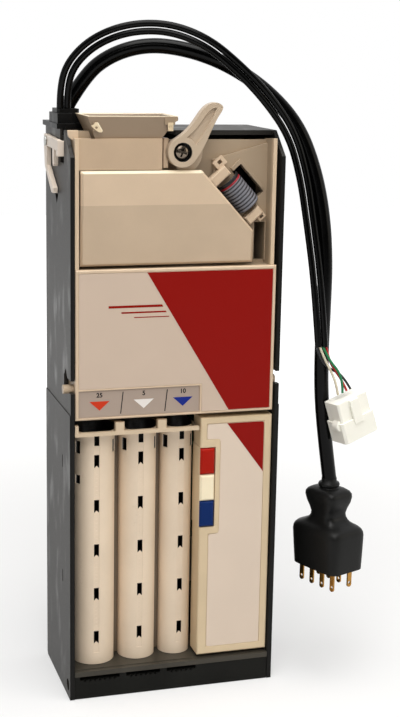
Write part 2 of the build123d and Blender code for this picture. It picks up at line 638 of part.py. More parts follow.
def acceptor_chassis():
    """Two cheeks, a back plate and shelves, with a long trunnion at the left and a short one at the right."""
    cheek = [
        (stub_front, PANEL_FOOT + 2.5),
        (runway_back, PANEL_FOOT + 2.5),
        (runway_back, GATE_TOP - 12),
        (plate_back + 2, GATE_TOP - 2),
        (plate_back + 1, CHASSIS_TOP - 1),
        (stub_front, CHASSIS_TOP),
    ]
    foot = PANEL_FOOT + 2.5
    chassis = prism_x(cheek, cheek_left, cheek_left + CHEEK)
    chassis += prism_x(cheek, rail_right - CHEEK, rail_right)
    chassis += block(cheek_left, rail_right, plate_front, plate_back, foot, CHASSIS_TOP - 1.5)
    chassis += block(cheek_left, rail_right, FRONT + 4, runway_back, foot, foot + 2.5)
    chassis += block(cheek_left, rail_right, FRONT + 2.5, plate_back, PANEL_TOP - 2, PANEL_TOP - 0.2)
    # A wing beside the mouth, and the stepped panel with its ridge at the upper right
    chassis += block(cheek_left, funnel_left - 2.2, funnel_front + 0.1, plate_front,
                     CHASSIS_TOP - CHEEK, CHASSIS_TOP)
    ridge = [
        (rail_right - 38.0, GATE_TOP + 5.5),
        (rail_right - CHEEK, GATE_TOP + 15.5),
        (rail_right - CHEEK, GATE_FOOT),
        (gate_right - 12, GATE_FOOT),
        (gate_right - 20, GATE_TOP - 34),
    ]
    chassis += prism_y(ridge, plate_front - 3.0, plate_front)
    # Slot for the flat cable, with its L-shaped rim, and the open channel below it
    chassis += band_prism(-14.0, 9.0, 22.6, 24.4, plate_front - 4.4, plate_front)
    chassis += band_prism(-14.2, -11.8, 16.0, 24.4, plate_front - 4.4, plate_front)
    chassis -= band_prism(-11.6, 11.6, 15.5, 22.4, plate_front - 5, plate_back + 1)
    chassis -= block(gate_right + 3.6, rail_right - CHEEK - 0.6, plate_front - 4, plate_back + 1,
                     GATE_FOOT, GATE_FOOT + 24)
    # Room for the coin mouth, and a coin way through the floor of the chassis
    chassis -= block(funnel_left - 0.2, funnel_right + 0.2, funnel_front - 1, funnel_back + 0.2,
                     GATE_TOP, CASE_HEIGHT)
    chassis -= block(runway_left + 6, flap_x + FLAP_LENGTH + 10, plate_back + 1, runway_back - 3,
                     PANEL_FOOT, foot + 3)
    # Hinge lugs of the gate
    for x in (gate_left + 12, gate_right - 16):
        chassis += rod_x(x, x + 4, gate_pin_y, gate_pin_z, LUG_RADIUS)
        chassis += block(x, x + 4, gate_pin_y, plate_front, gate_pin_z - 1.6, gate_pin_z + 1.6)
        chassis -= rod_x(x - 1, x + 5, gate_pin_y, gate_pin_z, GATE_PIN_RADIUS + RUNNING)
    # Stud of the return lever
    chassis += rod_y(lever_x, lever_stud_front, plate_front, lever_z, STUD_RADIUS)
    chassis += rod_y(lever_x, lever_back + 4.4, plate_front, lever_z, 5.0)
    chassis -= rod_y(lever_x, lever_stud_front - 1, plate_back - 1, lever_z, 1.2)
    # Room for the front panel, which the cheeks carry
    chassis -= block(-OUTER, OUTER, FRONT - 1, FRONT + PANEL_THICKNESS + 0.1, 0, PANEL_TOP + 0.1)
    # Trunnions
    chassis += rod_x(-OUTER - TRUNNION_REACH, cheek_left, PIVOT_Y, PIVOT_Z, TRUNNION_RADIUS)
    chassis += rod_x(rail_right, INNER + STUB_REACH, PIVOT_Y, PIVOT_Z, TRUNNION_RADIUS)
    return chassis


def field_outline(inset):
    """The sunk field, which goes down beside the label bay, drawn in by an inset."""
    left, right = sheet_left + inset, sheet_right - inset
    foot, top = PANEL_FOOT + LABEL_FOOT + inset, PANEL_TOP - PANEL_RIM - inset
    beside_bay = sheet_left + LABEL_WIDTH + BAY_STRIP + inset
    over_bay = label_top + BAY_STRIP + inset
    return [(left, over_bay), (beside_bay, over_bay), (beside_bay, foot), (right, foot), (right, top),
            (left, top)]


def front_panel():
    """Shallow moulded panel with a rim, a sunk field for the sheet and a sunk label bay."""
    panel = block(panel_left, panel_right, FRONT, FRONT + PANEL_THICKNESS, PANEL_FOOT, PANEL_TOP)
    panel = chamfer(panel.faces().sort_by(Axis.Y)[0].edges(), 0.6)
    panel += block(panel_left, panel_right, FRONT + PANEL_THICKNESS, FRONT + PANEL_RETURN,
                   PANEL_FOOT, PANEL_FOOT + 1.6)
    panel -= prism_y(field_outline(0), FRONT - 1, FRONT + SHEET + 0.1)
    panel -= block(sheet_left, sheet_left + LABEL_WIDTH, FRONT - 1, FRONT + LABEL_SINK,
                   PANEL_FOOT + LABEL_FOOT, label_top)
    return panel


def panel_overlay():
    """Printed sheet in the panel's field."""
    return prism_y(field_outline(0.2), FRONT + 0.1, FRONT + SHEET + 0.1)


def coin_label():
    """Grey label in three fields, one over each tube."""
    return block(sheet_left + 0.2, sheet_left + LABEL_WIDTH - 0.2, FRONT + LABEL_SINK - SHEET,
                 FRONT + LABEL_SINK, PANEL_FOOT + LABEL_FOOT + 0.2, label_top - 0.2)


save(acceptor_chassis(), "acceptor_chassis")
save(front_panel(), "front_panel")
save(panel_overlay(), "panel_overlay")
save(coin_label(), "coin_label")

# ---- Coin mouth ----
mouth_top = CASE_HEIGHT + 9.3
throat_top = CHASSIS_TOP - 0.1
throat_foot = GATE_TOP + 2.6


def rectangle_at(x0, x1, y0, y1, z):
    """A level rectangle between two corners."""
    return Pos((x0 + x1) / 2, (y0 + y1) / 2, z) * Rectangle(x1 - x0, y1 - y0)


def inlet_funnel():
    """Flared mouth, its straight throat with a coin slot in the floor, and the plate in front."""
    t = FUNNEL_WALL
    outer = loft([
        rectangle_at(funnel_left, funnel_right, funnel_front, funnel_back, throat_top),
        rectangle_at(mouth_left, mouth_right, FRONT + 0.2, mouth_back, mouth_top),
    ])
    inner = loft([
        rectangle_at(funnel_left + t, funnel_right - t, funnel_front + t, funnel_back - t, throat_top),
        rectangle_at(mouth_left + t, mouth_right - t, FRONT + 0.2 + t, mouth_back - t, mouth_top),
    ])
    funnel = outer - inner
    funnel += block(funnel_left, funnel_right, funnel_front, funnel_back, throat_foot, throat_top)
    funnel -= block(funnel_left + t, funnel_right - t, funnel_front + t, funnel_back - t,
                    throat_foot + 2, throat_top + 0.01)
    funnel -= block(funnel_left + 10, funnel_right - 3, plate_back + 0.7, plate_back + 5.3,
                    throat_foot - 1, throat_foot + 3)
    funnel += block(cheek_left + CHEEK, funnel_right, funnel_front - t, funnel_front,
                    GATE_TOP + 0.4, throat_top)
    for x in (mouth_left + 3.2, mouth_right - 6.5):
        funnel += block(x, x + 3.4, FRONT + 0.4, FRONT + 4.4, throat_top + 4.6, throat_top + 9.8)
    return funnel


def inlet_bar():
    """Slim upright bar between the mouth and the lever."""
    x = funnel_right + BAR_SETBACK
    bar = block(x, x + BAR_WIDTH, lever_back + 0.5, plate_front, GATE_TOP + 1.0, throat_top)
    return chamfer(bar.faces().sort_by(Axis.Y)[0].edges(), 0.4)


save(inlet_funnel(), "inlet_funnel")
save(inlet_bar(), "inlet_bar")


# ---- Gate ----
def gate_outline(inset):
    """The gate's five corners, drawn in by an inset."""
    slant = inset * 0.8
    return [
        (gate_left + inset, GATE_FOOT + inset),
        (gate_right - inset, GATE_FOOT + inset),
        (gate_right - inset, GATE_TOP - GATE_SLANT_Z - slant / 2),
        (gate_right - GATE_SLANT_X - slant / 2, GATE_TOP - inset),
        (gate_left + inset, GATE_TOP - inset),
    ]


def gate_cover():
    """Five-sided flap with a turned edge and a knuckle near each lower corner."""
    gate = prism_y(gate_outline(0), gate_front, gate_front + GATE_DEPTH)
    gate = chamfer(gate.faces().sort_by(Axis.Y)[0].edges(), 1.4)
    gate -= prism_y(gate_outline(GATE_WALL), gate_front + GATE_WALL + 0.4, gate_front + GATE_DEPTH + 1)
    for x in (gate_left + 4, gate_right - 10):
        gate += block(x, x + 5, gate_front + GATE_WALL, gate_pin_y, gate_pin_z - 2, gate_pin_z + 2)
        gate += rod_x(x, x + 5, gate_pin_y, gate_pin_z, LUG_RADIUS)
        gate -= rod_x(x - 1, x + 6, gate_pin_y, gate_pin_z, GATE_PIN_RADIUS + RUNNING)
    return gate


def gate_hinge_pin():
    """Steel pin through the lugs and knuckles."""
    return rod_x(gate_left + 3, gate_right - 4, gate_pin_y, gate_pin_z, GATE_PIN_RADIUS)


save(gate_cover(), "gate_cover")
save(gate_hinge_pin(), "gate_hinge_pin")

# ---- Coin return lever ----
# Edges of the arm and of its leaf-shaped field: along the arm from the pivot, and to its left
LEVER_LEFT = [(3.5, 8.4), (9.0, 6.9), (14.2, 6.2), (20.0, 6.4), (25.3, 6.8), (30.0, 6.6), (33.6, 5.2),
              (36.2, 2.6), (37.0, -0.4)]
LEVER_RIGHT = [(0.4, -9.19), (6.0, -9.0), (11.4, -8.1), (20.4, -5.7), (26.2, -4.3), (31.0, -3.4),
               (34.8, -2.9), (36.6, -2.0), (37.0, -0.4)]
FIELD_LEFT = [(5.0, 4.6), (11.0, 3.3), (16.3, 2.8), (24.4, 3.1), (29.0, 3.1), (32.0, 2.2), (33.8, 0.6)]
FIELD_RIGHT = [(5.0, -3.6), (8.3, -3.5), (16.3, -3.0), (24.1, -1.7), (33.8, 0.6)]
FIELD_DEPTH = 1.6


def lever_plate(left, right, y0, y1):
    """A plate between two smooth edges, each drawn from the pivot's end, that meet at the tip."""
    c, s = cos(radians(LEVER_ANGLE)), sin(radians(LEVER_ANGLE))
    plane = Plane(origin=(lever_x, y0, lever_z), x_dir=(c, 0, s), z_dir=(0, 1, 0))
    up = plane.from_local_coords(Spline([(u, -v) for u, v in left]))
    down = plane.from_local_coords(Spline([(u, -v) for u, v in right]))
    foot = plane.from_local_coords(Polyline((right[0][0], -right[0][1]), (0, 0), (left[0][0], -left[0][1])))
    return extrude(make_face([*up.edges(), *down.edges(), *foot.edges()]), amount=y1 - y0, dir=(0, 1, 0))


def cam_outline():
    """What is kept of the cam's disc, so that it clears the inlet bar over the lever's whole swing."""
    swing = radians(LEVER_SWING)
    reach = funnel_right + BAR_SETBACK + BAR_WIDTH + 2 * FIT - lever_x
    foot_x = (reach + CAM_RADIUS * sin(swing)) / cos(swing)
    left_z = (reach + CAM_LEFT * cos(swing)) / sin(swing)
    around = [(-CAM_LEFT, CAM_RISE), (CAM_RADIUS, CAM_RISE), (CAM_RADIUS, -CAM_RADIUS),
              (foot_x, -CAM_RADIUS), (-CAM_LEFT, left_z)]
    return [(lever_x + x, lever_z + z) for x, z in around]


def coin_return_lever():
    """Lever with a raised rim, a sunk field, a deep recess for its screw, and a cam behind it."""
    lever = lever_plate(LEVER_LEFT, LEVER_RIGHT, lever_front, lever_back)
    lever += rod_y(lever_x, lever_front, lever_back, lever_z, BOSS_RADIUS)
    field = lever_plate(FIELD_LEFT, FIELD_RIGHT, lever_front - 1, lever_front + FIELD_DEPTH)
    field -= rod_y(lever_x, lever_front - 2, lever_front + 3, lever_z, BOSS_RADIUS)
    lever -= field
    lever -= rod_y(lever_x, lever_front - 1, lever_front + LEVER_RECESS, lever_z, RECESS_RADIUS)
    cam = rod_y(lever_x, lever_back, lever_back + CAM_THICKNESS, lever_z, CAM_RADIUS)
    cam &= prism_y(cam_outline(), lever_back, lever_back + CAM_THICKNESS)
    lever += cam
    lever -= rod_y(lever_x, lever_front - 1, lever_back + 3, lever_z, STUD_RADIUS + RUNNING)
    return lever


def lever_screw():
    """Pan-head screw with its washer, in the lever's recess."""
    head = rod_y(lever_x, lever_front + 0.6, lever_stud_front - 0.7, lever_z, 3.4)
    head -= block(lever_x - 3, lever_x + 3, lever_front, lever_front + 1.4, lever_z - 0.5, lever_z + 0.5)
    head -= block(lever_x - 0.5, lever_x + 0.5, lever_front, lever_front + 1.4, lever_z - 3, lever_z + 3)
    washer = rod_y(lever_x, lever_stud_front - 0.7, lever_stud_front, lever_z, 4.8)
    shank = rod_y(lever_x, lever_stud_front - 0.5, plate_front, lever_z, 1.15)
    return head + washer + shank


def lever_spring():
    """Torsion spring round the lever's post."""
    coil_radius, wire = 6.2, 0.45
    start = lever_back + 2.8
    path = Pos(lever_x, start, lever_z) * Rot(-90, 0, 0) * Helix(pitch=1.3, height=3.9, radius=coil_radius)
    section = Plane(origin=path @ 0, z_dir=path % 0) * Circle(wire)
    return sweep(section, path=path, is_frenet=True)


save(coin_return_lever(), "coin_return_lever")
save(lever_screw(), "lever_screw")
save(lever_spring(), "lever_spring")

# ---- Flat cable and its clamps ----
RIBBON_HALF = 11.0
RIBBON_THICKNESS = 1.3
RIBBON_ARCH = 8.0
ribbon_mid = 9.4
arch_y = plate_front - 4.0


def ribbon_cable():
    """Flat cable that rises from under the gate, arches over and dives into its slot."""
    origin_x, origin_z = band_point(-RIBBON_HALF, ribbon_mid)
    plane = Plane(origin=(origin_x, arch_y, origin_z), x_dir=(ACROSS[0], 0, ACROSS[1]),
                  z_dir=(ALONG[0], 0, ALONG[1]))
    ring = Circle(RIBBON_ARCH) - Circle(RIBBON_ARCH - RIBBON_THICKNESS)
    toward_front = 1 if plane.y_dir.Y < 0 else -1
    arch = ring & Pos(0, toward_front * RIBBON_ARCH) * Rectangle(4 * RIBBON_ARCH, 2 * RIBBON_ARCH)
    mid = RIBBON_ARCH - RIBBON_THICKNESS / 2
    near = Pos(-mid, -toward_front * 0.35) * Rectangle(RIBBON_THICKNESS, 0.7)
    far = Pos(mid, -toward_front * 5.0) * Rectangle(RIBBON_THICKNESS, 10.0)
    return extrude(plane * (arch + near + far), amount=2 * RIBBON_HALF, dir=(ALONG[0], 0, ALONG[1]))


def ribbon_clamp_upper():
    """Block over the upper end of the flat cable, with a small eyed bracket."""
    clamp = band_prism(-19.4, -12.6, 0.2, 13.4, plate_front - 8.5, plate_front - 3)
    clamp = chamfer(clamp.faces().sort_by(Axis.Y)[0].edges(), 0.8)
    clamp += band_prism(-24.6, -18.9, 9.0, 16.6, plate_front - 6.0, plate_front - 3)
    clamp -= band_prism(-23.4, -21.0, 11.6, 14.2, plate_front - 9.0, plate_front - 2)
    return clamp


def ribbon_clamp_lower():
    """Block over the lower end of the flat cable, with a small eye beside it."""
    clamp = band_prism(14.2, 20.0, 1.4, 13.2, plate_front - 8.5, plate_front - 3)
    clamp = chamfer(clamp.faces().sort_by(Axis.Y)[0].edges(), 0.8)
    clamp += band_prism(19.5, 23.4, 8.0, 13.4, plate_front - 6.0, plate_front - 3)
    clamp -= band_prism(20.9, 22.4, 9.6, 11.8, plate_front - 7.0, plate_front - 2)
    return clamp


save(ribbon_cable(), "ribbon_cable")
save(ribbon_clamp_upper(), "ribbon_clamp_upper")
save(ribbon_clamp_lower(), "ribbon_clamp_lower")

# ---- Coin runway, its coils and the accept flap, behind the back plate ----
way_front = plate_back + 1.4
flap_front = way_front + COIN_WAY + 0.2
plunger_x = flap_x + FLAP_LENGTH - 3.0
plunger_y = way_front + COIN_WAY + 2.7
plunger_axis = runway_back + 1.5
coil_top = flap_z - 12.0
coil_foot = coil_top - COIL_LENGTH


def coin_runway():
    """Two walls with the slanted coin way between them, open for the flap."""
    foot, top = PANEL_FOOT + 6, GATE_TOP - 14
    runway = block(runway_left, runway_right, plate_back, runway_back - 4, foot, top)
    way = [
        (runway_left + 4, top + 1), (runway_left + 40, top + 1), (runway_left + 40, top - 30),
        (runway_right - 6, top - 50), (runway_right - 6, foot + 52), (flap_x + 20, foot + 30),
        (flap_x + 20, foot - 1), (runway_left + 6, foot - 1), (runway_left + 6, foot + 60),
        (runway_left + 40, top - 66), (runway_left + 4, top - 40),
    ]
    runway -= prism_y(way, way_front, way_front + COIN_WAY)
    runway -= block(flap_x - FLAP_HUB - 1, flap_x + FLAP_LENGTH + 3, way_front + COIN_WAY - 0.5,
                    runway_back, flap_z - 10, flap_z + 12)
    bridge = block(flap_x - 3, flap_x + 3, runway_back - 5.9, runway_back - 4, flap_z - 11, flap_z + 13)
    bridge -= rod_y(flap_x, runway_back - 7, runway_back, flap_z, FLAP_PIN + 0.02)
    return runway + bridge


def sensor_coils():
    """Three pot-core coils on the back of the runway."""
    pots = []
    for along, drop in SENSOR_PLACES:
        x, z = runway_left + along, GATE_TOP - drop
        pot = rod_y(x, runway_back - 4, runway_back + 3, z, SENSOR_RADIUS)
        pots.append(pot - rod_y(x, runway_back + 1, runway_back + 4, z, 3.0))
    return Compound(children=pots)


def accept_flap():
    """Flap on a cross pivot that turns a good coin towards the tubes."""
    flap = rod_y(flap_x, flap_front, flap_front + 5.0, flap_z, FLAP_HUB)
    flap += block(flap_x, flap_x + FLAP_LENGTH, flap_front, flap_front + 5.0, flap_z - 1.0, flap_z + 1.0)
    flap -= rod_y(flap_x, flap_front - 1, flap_front + 6, flap_z, FLAP_PIN + RUNNING)
    return flap


def accept_flap_pin():
    """Steel pin of the flap, pressed into the runway's bridge."""
    return rod_y(flap_x, flap_front, runway_back - 4.0, flap_z, FLAP_PIN)


def accept_solenoid():
    """Square coil below the flap's free end, bored for its plunger."""
    can = block(plunger_x - COIL_HALF, plunger_x + COIL_HALF, runway_back - 3.9, runway_back + 7,
                coil_foot, coil_top)
    can = chamfer(can.edges().filter_by(Axis.Z), 1.0)
    can -= rod_z(plunger_x, plunger_axis, coil_foot + 3, coil_top + 1, PLUNGER + RUNNING)
    return can


def accept_plunger():
    """Plunger with a finger that lifts the flap."""
    finger_top = flap_z - 1.3
    plunger = rod_z(plunger_x, plunger_axis, coil_foot + 3.2, finger_top, PLUNGER)
    finger = block(plunger_x - 1.2, plunger_x + 1.2, plunger_y - 1.5, plunger_axis,
                   finger_top - 2.0, finger_top)
    return plunger + finger


save(coin_runway(), "coin_runway")
save(sensor_coils(), "sensor_coils")
save(accept_flap(), "accept_flap")
save(accept_flap_pin(), "accept_flap_pin")
save(accept_solenoid(), "accept_solenoid")
save(accept_plunger(), "accept_plunger")

# ---- Latch on the left wall ----
latch_inner = -OUTER + UPPER_INSET - FIT
latch_outer = latch_inner - LATCH_THICKNESS


def latch_clip():
    """Moulded clip: a top bar with a hook at the front, a short leg, and a long leaf-spring leg."""
    y, z = LATCH_Y, LATCH_Z
    bar = [(y + 8, z - 2), (y + 7, z + 4), (HOOK_Y, z + 2.5), (HOOK_Y, z - 4), (HOOK_Y + 7, z - 4),
           (y - 24, z - 3.5), (y - 2, z - 3)]
    long_leg = [(y + 8, z), (y - 2, z), (y - 1, z - 15), (y - 22, z - 27.5), (y - 21.5, z - 30.5),
                (y - 16, z - 30.5), (y + 5, z - 16)]
    short_leg = [(y - 25, z), (y - 19, z), (y - 19.5, z - 12), (y - 21.5, z - 14), (y - 23.5, z - 12.5)]
    clip = prism_x(bar, latch_outer, latch_inner)
    clip += prism_x(long_leg, latch_outer, latch_inner)
    clip += prism_x(short_leg, latch_outer, latch_inner)
    clip += block(latch_outer, cheek_left - FIT, HOOK_Y, HOOK_Y + HOOK_LENGTH, HOOK_FOOT, HOOK_TOP)
    clip -= rod_x(latch_outer - 1, latch_inner + 1, LATCH_Y, LATCH_Z, LATCH_PIN_RADIUS + RUNNING)
    return clip


def latch_pin():
    """Headed pivot pin of the clip, pressed through the wall."""
    pin = rod_x(latch_outer - 0.2, -INNER + 1.5, LATCH_Y, LATCH_Z, LATCH_PIN_RADIUS)
    pin += rod_x(latch_outer - 1.0, latch_outer - 0.2, LATCH_Y, LATCH_Z, LATCH_PIN_RADIUS + 1.0)
    pin += rod_x(-INNER + 0.1, -INNER + 1.5, LATCH_Y, LATCH_Z, LATCH_PIN_RADIUS + 1.0)
    return pin


save(latch_clip(), "latch_clip")
save(latch_pin(), "latch_pin")

# ---- Cable gland ----
GLAND_LEFT = -OUTER - 1.5
GLAND_TOP = CASE_HEIGHT + 11.5
gland_under = mouth_left - 2.0


def cable_gland():
    """Stepped rubber boot: flange on the case's top, block, and the collar the cords leave by."""
    flange = block(GLAND_LEFT, -OUTER + 17.5, mouth_back + 2.2, BACK - 0.5, CASE_HEIGHT, CASE_HEIGHT + 3)
    flange += block(GLAND_LEFT, gland_under + 1.0, -8, mouth_back + 2.3, CASE_HEIGHT, CASE_HEIGHT + 3)
    flange += block(-INNER + 0.2, gland_under - 1.0, -9.4, -7.2, CASE_HEIGHT - 8.5, CASE_HEIGHT + 3)
    step = [
        (GLAND_LEFT + 1, CASE_HEIGHT + 3),
        (-OUTER + 17.0, CASE_HEIGHT + 3),
        (-OUTER + 15.0, CASE_HEIGHT + 5),
        (-OUTER + 14.5, CASE_HEIGHT + 9),
        (GLAND_LEFT + 1, CASE_HEIGHT + 9),
    ]
    boot = prism_y(step, 1.5, 21)
    boot += block(GLAND_LEFT + 1, gland_under - 0.5, -5, 1.6, CASE_HEIGHT + 3, CASE_HEIGHT + 9)
    collar = block(GLAND_LEFT + 2.2, -OUTER + 14.6, 1.8, 19, CASE_HEIGHT + 9, GLAND_TOP)
    collar = chamfer(collar.edges().filter_by(Axis.Z), 1.5)
    return flange + boot + collar


save(cable_gland(), "cable_gland")

# ---- Logic board and what stands on it ----
board_back = BACK - WALL - STANDOFF
board_front = board_back - BOARD_THICKNESS
board_left = -INNER + BOARD_SIDE_GAP
board_right = INNER - BOARD_SIDE_GAP
board_foot = DECK_TOP + BOARD_RISE
board_top = PANEL_FOOT - BOARD_DROP
STANDOFF_PLACES = [(x, z) for x in (board_left + SCREW_INSET, board_right - SCREW_INSET)
                   for z in (board_foot + SCREW_INSET, board_top - SCREW_INSET)]


def logic_board():
    """Circuit board on four moulded standoffs."""
    board = block(board_left, board_right, board_front, board_back, board_foot, board_top)
    for x, z in STANDOFF_PLACES:
        board += rod_y(x, board_back, BACK - WALL, z, 3.0)
        board -= rod_y(x, board_front - 1, BACK - WALL + 1, z, 1.4)
    for row in range(3):
        for column in range(4):
            x0 = board_left + CHIP_INSET + column * CHIP_PITCH
            z0 = board_foot + CHIP_RISE + row * CHIP_PITCH
            board += block(x0, x0 + 9, board_front - 2.2, board_front, z0, z0 + 7)
    return board


def board_transformer():
    """Laminated core with its winding, standing on the board."""
    y0 = board_front - TRANSFORMER_DEPTH
    x, z = board_right - TRANSFORMER_INSET, board_foot + TRANSFORMER_RISE
    core = block(x - 15, x + 15, y0 + 5, board_front, z - 13, z + 13)
    core += block(x - 9.5, x + 9.5, y0, board_front, z - 12, z + 12)
    return chamfer(core.faces().sort_by(Axis.Y)[0].edges(), 1.0)


def board_capacitors():
    """Three round capacitors."""
    cans = []
    for inset, rise, radius, length in CAPACITORS:
        can = rod_y(board_left + inset, board_front - length, board_front, board_foot + rise, radius)
        cans.append(chamfer(can.faces().sort_by(Axis.Y)[0].edges(), 0.8))
    return Compound(children=cans)


def board_connector():
    """Two-row header for the acceptor's cable."""
    x, z = board_right - HEADER_INSET, board_top - HEADER_DROP
    shell = block(x - 10, x + 10, board_front - HEADER_DEPTH, board_front, z - 4, z + 4)
    shell -= block(x - 9, x + 9, board_front - HEADER_DEPTH - 1, board_front - 2, z - 3, z + 3)
    for column in range(6):
        for row in (-0.5, 0.5):
            pin_x = x + (column - 2.5) * PIN_PITCH
            pin_z = z + row * PIN_PITCH
            shell += block(pin_x - 0.3, pin_x + 0.3, board_front - HEADER_DEPTH + 2, board_front - 1.9,
                           pin_z - 0.3, pin_z + 0.3)
    return shell


save(logic_board(), "logic_board")
save(board_transformer(), "board_transformer")
save(board_capacitors(), "board_capacitors")
save(board_connector(), "board_connector")


# ---- Fasteners ----
def assembly_screws():
    """Pan-head screws: four in the board's standoffs and three in the deck."""
    screws = []
    for x, z in STANDOFF_PLACES:
        screw = rod_y(x, board_front - 1.8, board_front, z, 2.6)
        screw += rod_y(x, board_front, BACK - WALL - 0.2, z, 1.3)
        screw -= block(x - 2, x + 2, board_front - 2, board_front - 1.0, z - 0.4, z + 0.4)
        screws.append(screw)
    for x in DECK_SCREWS:
        screw = rod_z(x, deck_screw_y, DECK_TOP - 1.8, DECK_TOP - 0.2, 2 * SCREW_RADIUS)
        screw += rod_z(x, deck_screw_y, BED_TOP - 2, DECK_TOP - 1.8, SCREW_RADIUS)
        screws.append(screw)
    return Compound(children=screws)


save(assembly_screws(), "assembly_screws")

# ---- Cords ----
MAIN_ROUTE = [
    (-61.0, 14.0, GLAND_TOP - 2.5), (-49.0, 10.5, 391.0), (-33.0, 5.5, 404.5), (-11.5, -1.0, 411.0),
    (12.0, -8.5, 408.5), (36.0, -14.5, 400.0), (59.5, -20.0, 385.0), (79.0, -25.5, 364.0),
    (89.5, -30.0, 337.0), (95.0, -34.0, 308.0), (96.8, -36.5, 279.0), (96.2, -37.8, 250.0),
    (95.6, -38.2, 221.0), (96.6, -38.0, 192.0), (100.0, -38.4, 163.5), (104.0, -39.0, 136.5),
]
DATA_A_ROUTE = [
    (-64.8, 5.6, GLAND_TOP - 2.0), (-65.3, 4.0, 384.3), (-61.0, 0.5, 400.2), (-47.3, -5.0, 414.4),
    (-27.0, -11.0, 422.8), (-3.2, -18.0, 423.8), (20.1, -25.0, 415.5), (40.0, -29.0, 399.7),
    (59.2, -30.5, 381.5), (75.6, -31.5, 359.0), (83.3, -34.5, 332.0), (86.8, -38.5, 304.8),
    (90.3, -42.0, 277.3), (92.8, -44.5, 250.2), (94.6, -46.0, 226.0),
]
DATA_B_ROUTE = [
    (-60.2, 5.6, GLAND_TOP - 2.0), (-60.7, 4.0, 383.7), (-56.9, 0.5, 397.8), (-44.6, -5.0, 410.3),
    (-26.0, -11.0, 418.2), (-3.8, -18.0, 419.2), (17.9, -25.0, 411.3), (36.9, -29.0, 396.3),
    (55.3, -30.5, 378.3), (71.4, -31.5, 357.0), (78.7, -34.5, 331.0), (82.2, -38.5, 304.2),
    (85.7, -42.0, 276.7), (88.2, -44.5, 249.8), (90.1, -46.0, 226.0),
]
WIRE_ROUTES = {
    "wire_red": [(95.6, -46.0, 226.0), (97.2, -46.6, 218.0), (101.0, -47.6, 211.0), (106.0, -48.4, 204.5),
                 (109.5, -48.8, 197.2)],
    "wire_green": [(93.2, -46.4, 226.0), (97.0, -48.6, 217.5), (103.0, -50.4, 210.5), (105.8, -50.6, 202.5),
                   (106.4, -49.6, 196.2)],
    "wire_cream": [(91.0, -46.6, 226.0), (94.0, -47.4, 218.5), (99.5, -48.6, 208.5), (102.0, -50.0, 201.0),
                   (103.4, -49.4, 195.0)],
    "wire_black": [(89.2, -46.0, 226.0), (92.4, -45.2, 217.0), (99.0, -45.2, 211.0), (107.0, -46.4, 207.5),
                   (112.5, -48.0, 198.0)],
}


def arc_radii(name, route, diameter):
    """The largest tangent arc at each corner of a route, which is printed in diameters."""
    points = [Vector(*point) for point in route]
    radii = []
    for before, here, after in zip(points, points[1:], points[2:]):
        turn = (here - before).get_angle(after - here)
        shorter = min((here - before).length, (after - here).length)
        radii.append(0.45 * shorter / tan(radians(turn / 2)))
    print(name, "radii in diameters", [round(radius / diameter, 1) for radius in radii])
    return radii


def cord(name, route, diameter):
    """A round cord along straight runs joined by tangent arcs."""
    path = FilletPolyline(*route, radius=arc_radii(name, route, diameter))
    section = Plane(origin=path @ 0, z_dir=path % 0) * Circle(diameter / 2)
    tube = sweep(section, path=path)
    share = tube.volume / section.area / path.length
    print(name, "length", round(path.length, 1), "volume share", round(share, 4))
    return tube


save(cord("main_cable", MAIN_ROUTE, MAIN_DIAMETER), "main_cable")
save(cord("data_cable_a", DATA_A_ROUTE, DATA_DIAMETER), "data_cable_a")
save(cord("data_cable_b", DATA_B_ROUTE, DATA_DIAMETER), "data_cable_b")
for name, route in WIRE_ROUTES.items():
    save(cord(name, route, WIRE_DIAMETER), name)

# ---- Plug ----
PLUG_YAW = 22.0
PLUG_WIDTH = 31.0
PLUG_DEPTH = 40.0
PLUG_BOX_HEIGHT = 29.0
NECK_WIDTH = 16.6
NECK_DEPTH = 21.0
PLUG_TOP_WIDTH = 22.0
PLUG_TOP_DEPTH = 28.0
COLLAR_RADIUS = 8.0
BLADE_WIDTH = 3.6
BLADE_THICKNESS = 1.0
BLADE_LENGTH = 12.5
BLADE_PITCH = 9.6
BLADE_ROWS = 15.5
plug_x, plug_y, plug_z = MAIN_ROUTE[-1]
plug_place = Pos(plug_x, plug_y, plug_z) * Rot(0, 0, PLUG_YAW)
collar_foot = -2.5
neck_z = -19.5
shoulder_z = -31.0
box_foot = shoulder_z - PLUG_BOX_HEIGHT


def plug_body():
    """Moulded rubber plug: collar, waisted grip and a square body, in the cord's end frame."""
    body = Pos(0, 0, collar_foot / 2) * Cylinder(COLLAR_RADIUS, -collar_foot)
    grip = loft([Pos(0, 0, neck_z) * RectangleRounded(NECK_WIDTH, NECK_DEPTH, 3),
                 Pos(0, 0, collar_foot - 8) * RectangleRounded(PLUG_TOP_WIDTH, PLUG_TOP_DEPTH, 3)])
    grip += loft([Pos(0, 0, collar_foot - 8) * RectangleRounded(PLUG_TOP_WIDTH, PLUG_TOP_DEPTH, 3),
                  Pos(0, 0, collar_foot) * RectangleRounded(PLUG_TOP_WIDTH - 3, PLUG_TOP_DEPTH - 3, 3)])
    foot = loft([Pos(0, 0, shoulder_z) * RectangleRounded(PLUG_WIDTH - 2, PLUG_DEPTH - 2, 3),
                 Pos(0, 0, neck_z) * RectangleRounded(NECK_WIDTH, NECK_DEPTH, 3)])
    box = loft([Pos(0, 0, box_foot) * RectangleRounded(PLUG_WIDTH - 3, PLUG_DEPTH - 3, 3),
                Pos(0, 0, shoulder_z) * RectangleRounded(PLUG_WIDTH, PLUG_DEPTH, 3)])
    return plug_place * (body + grip + foot + box)


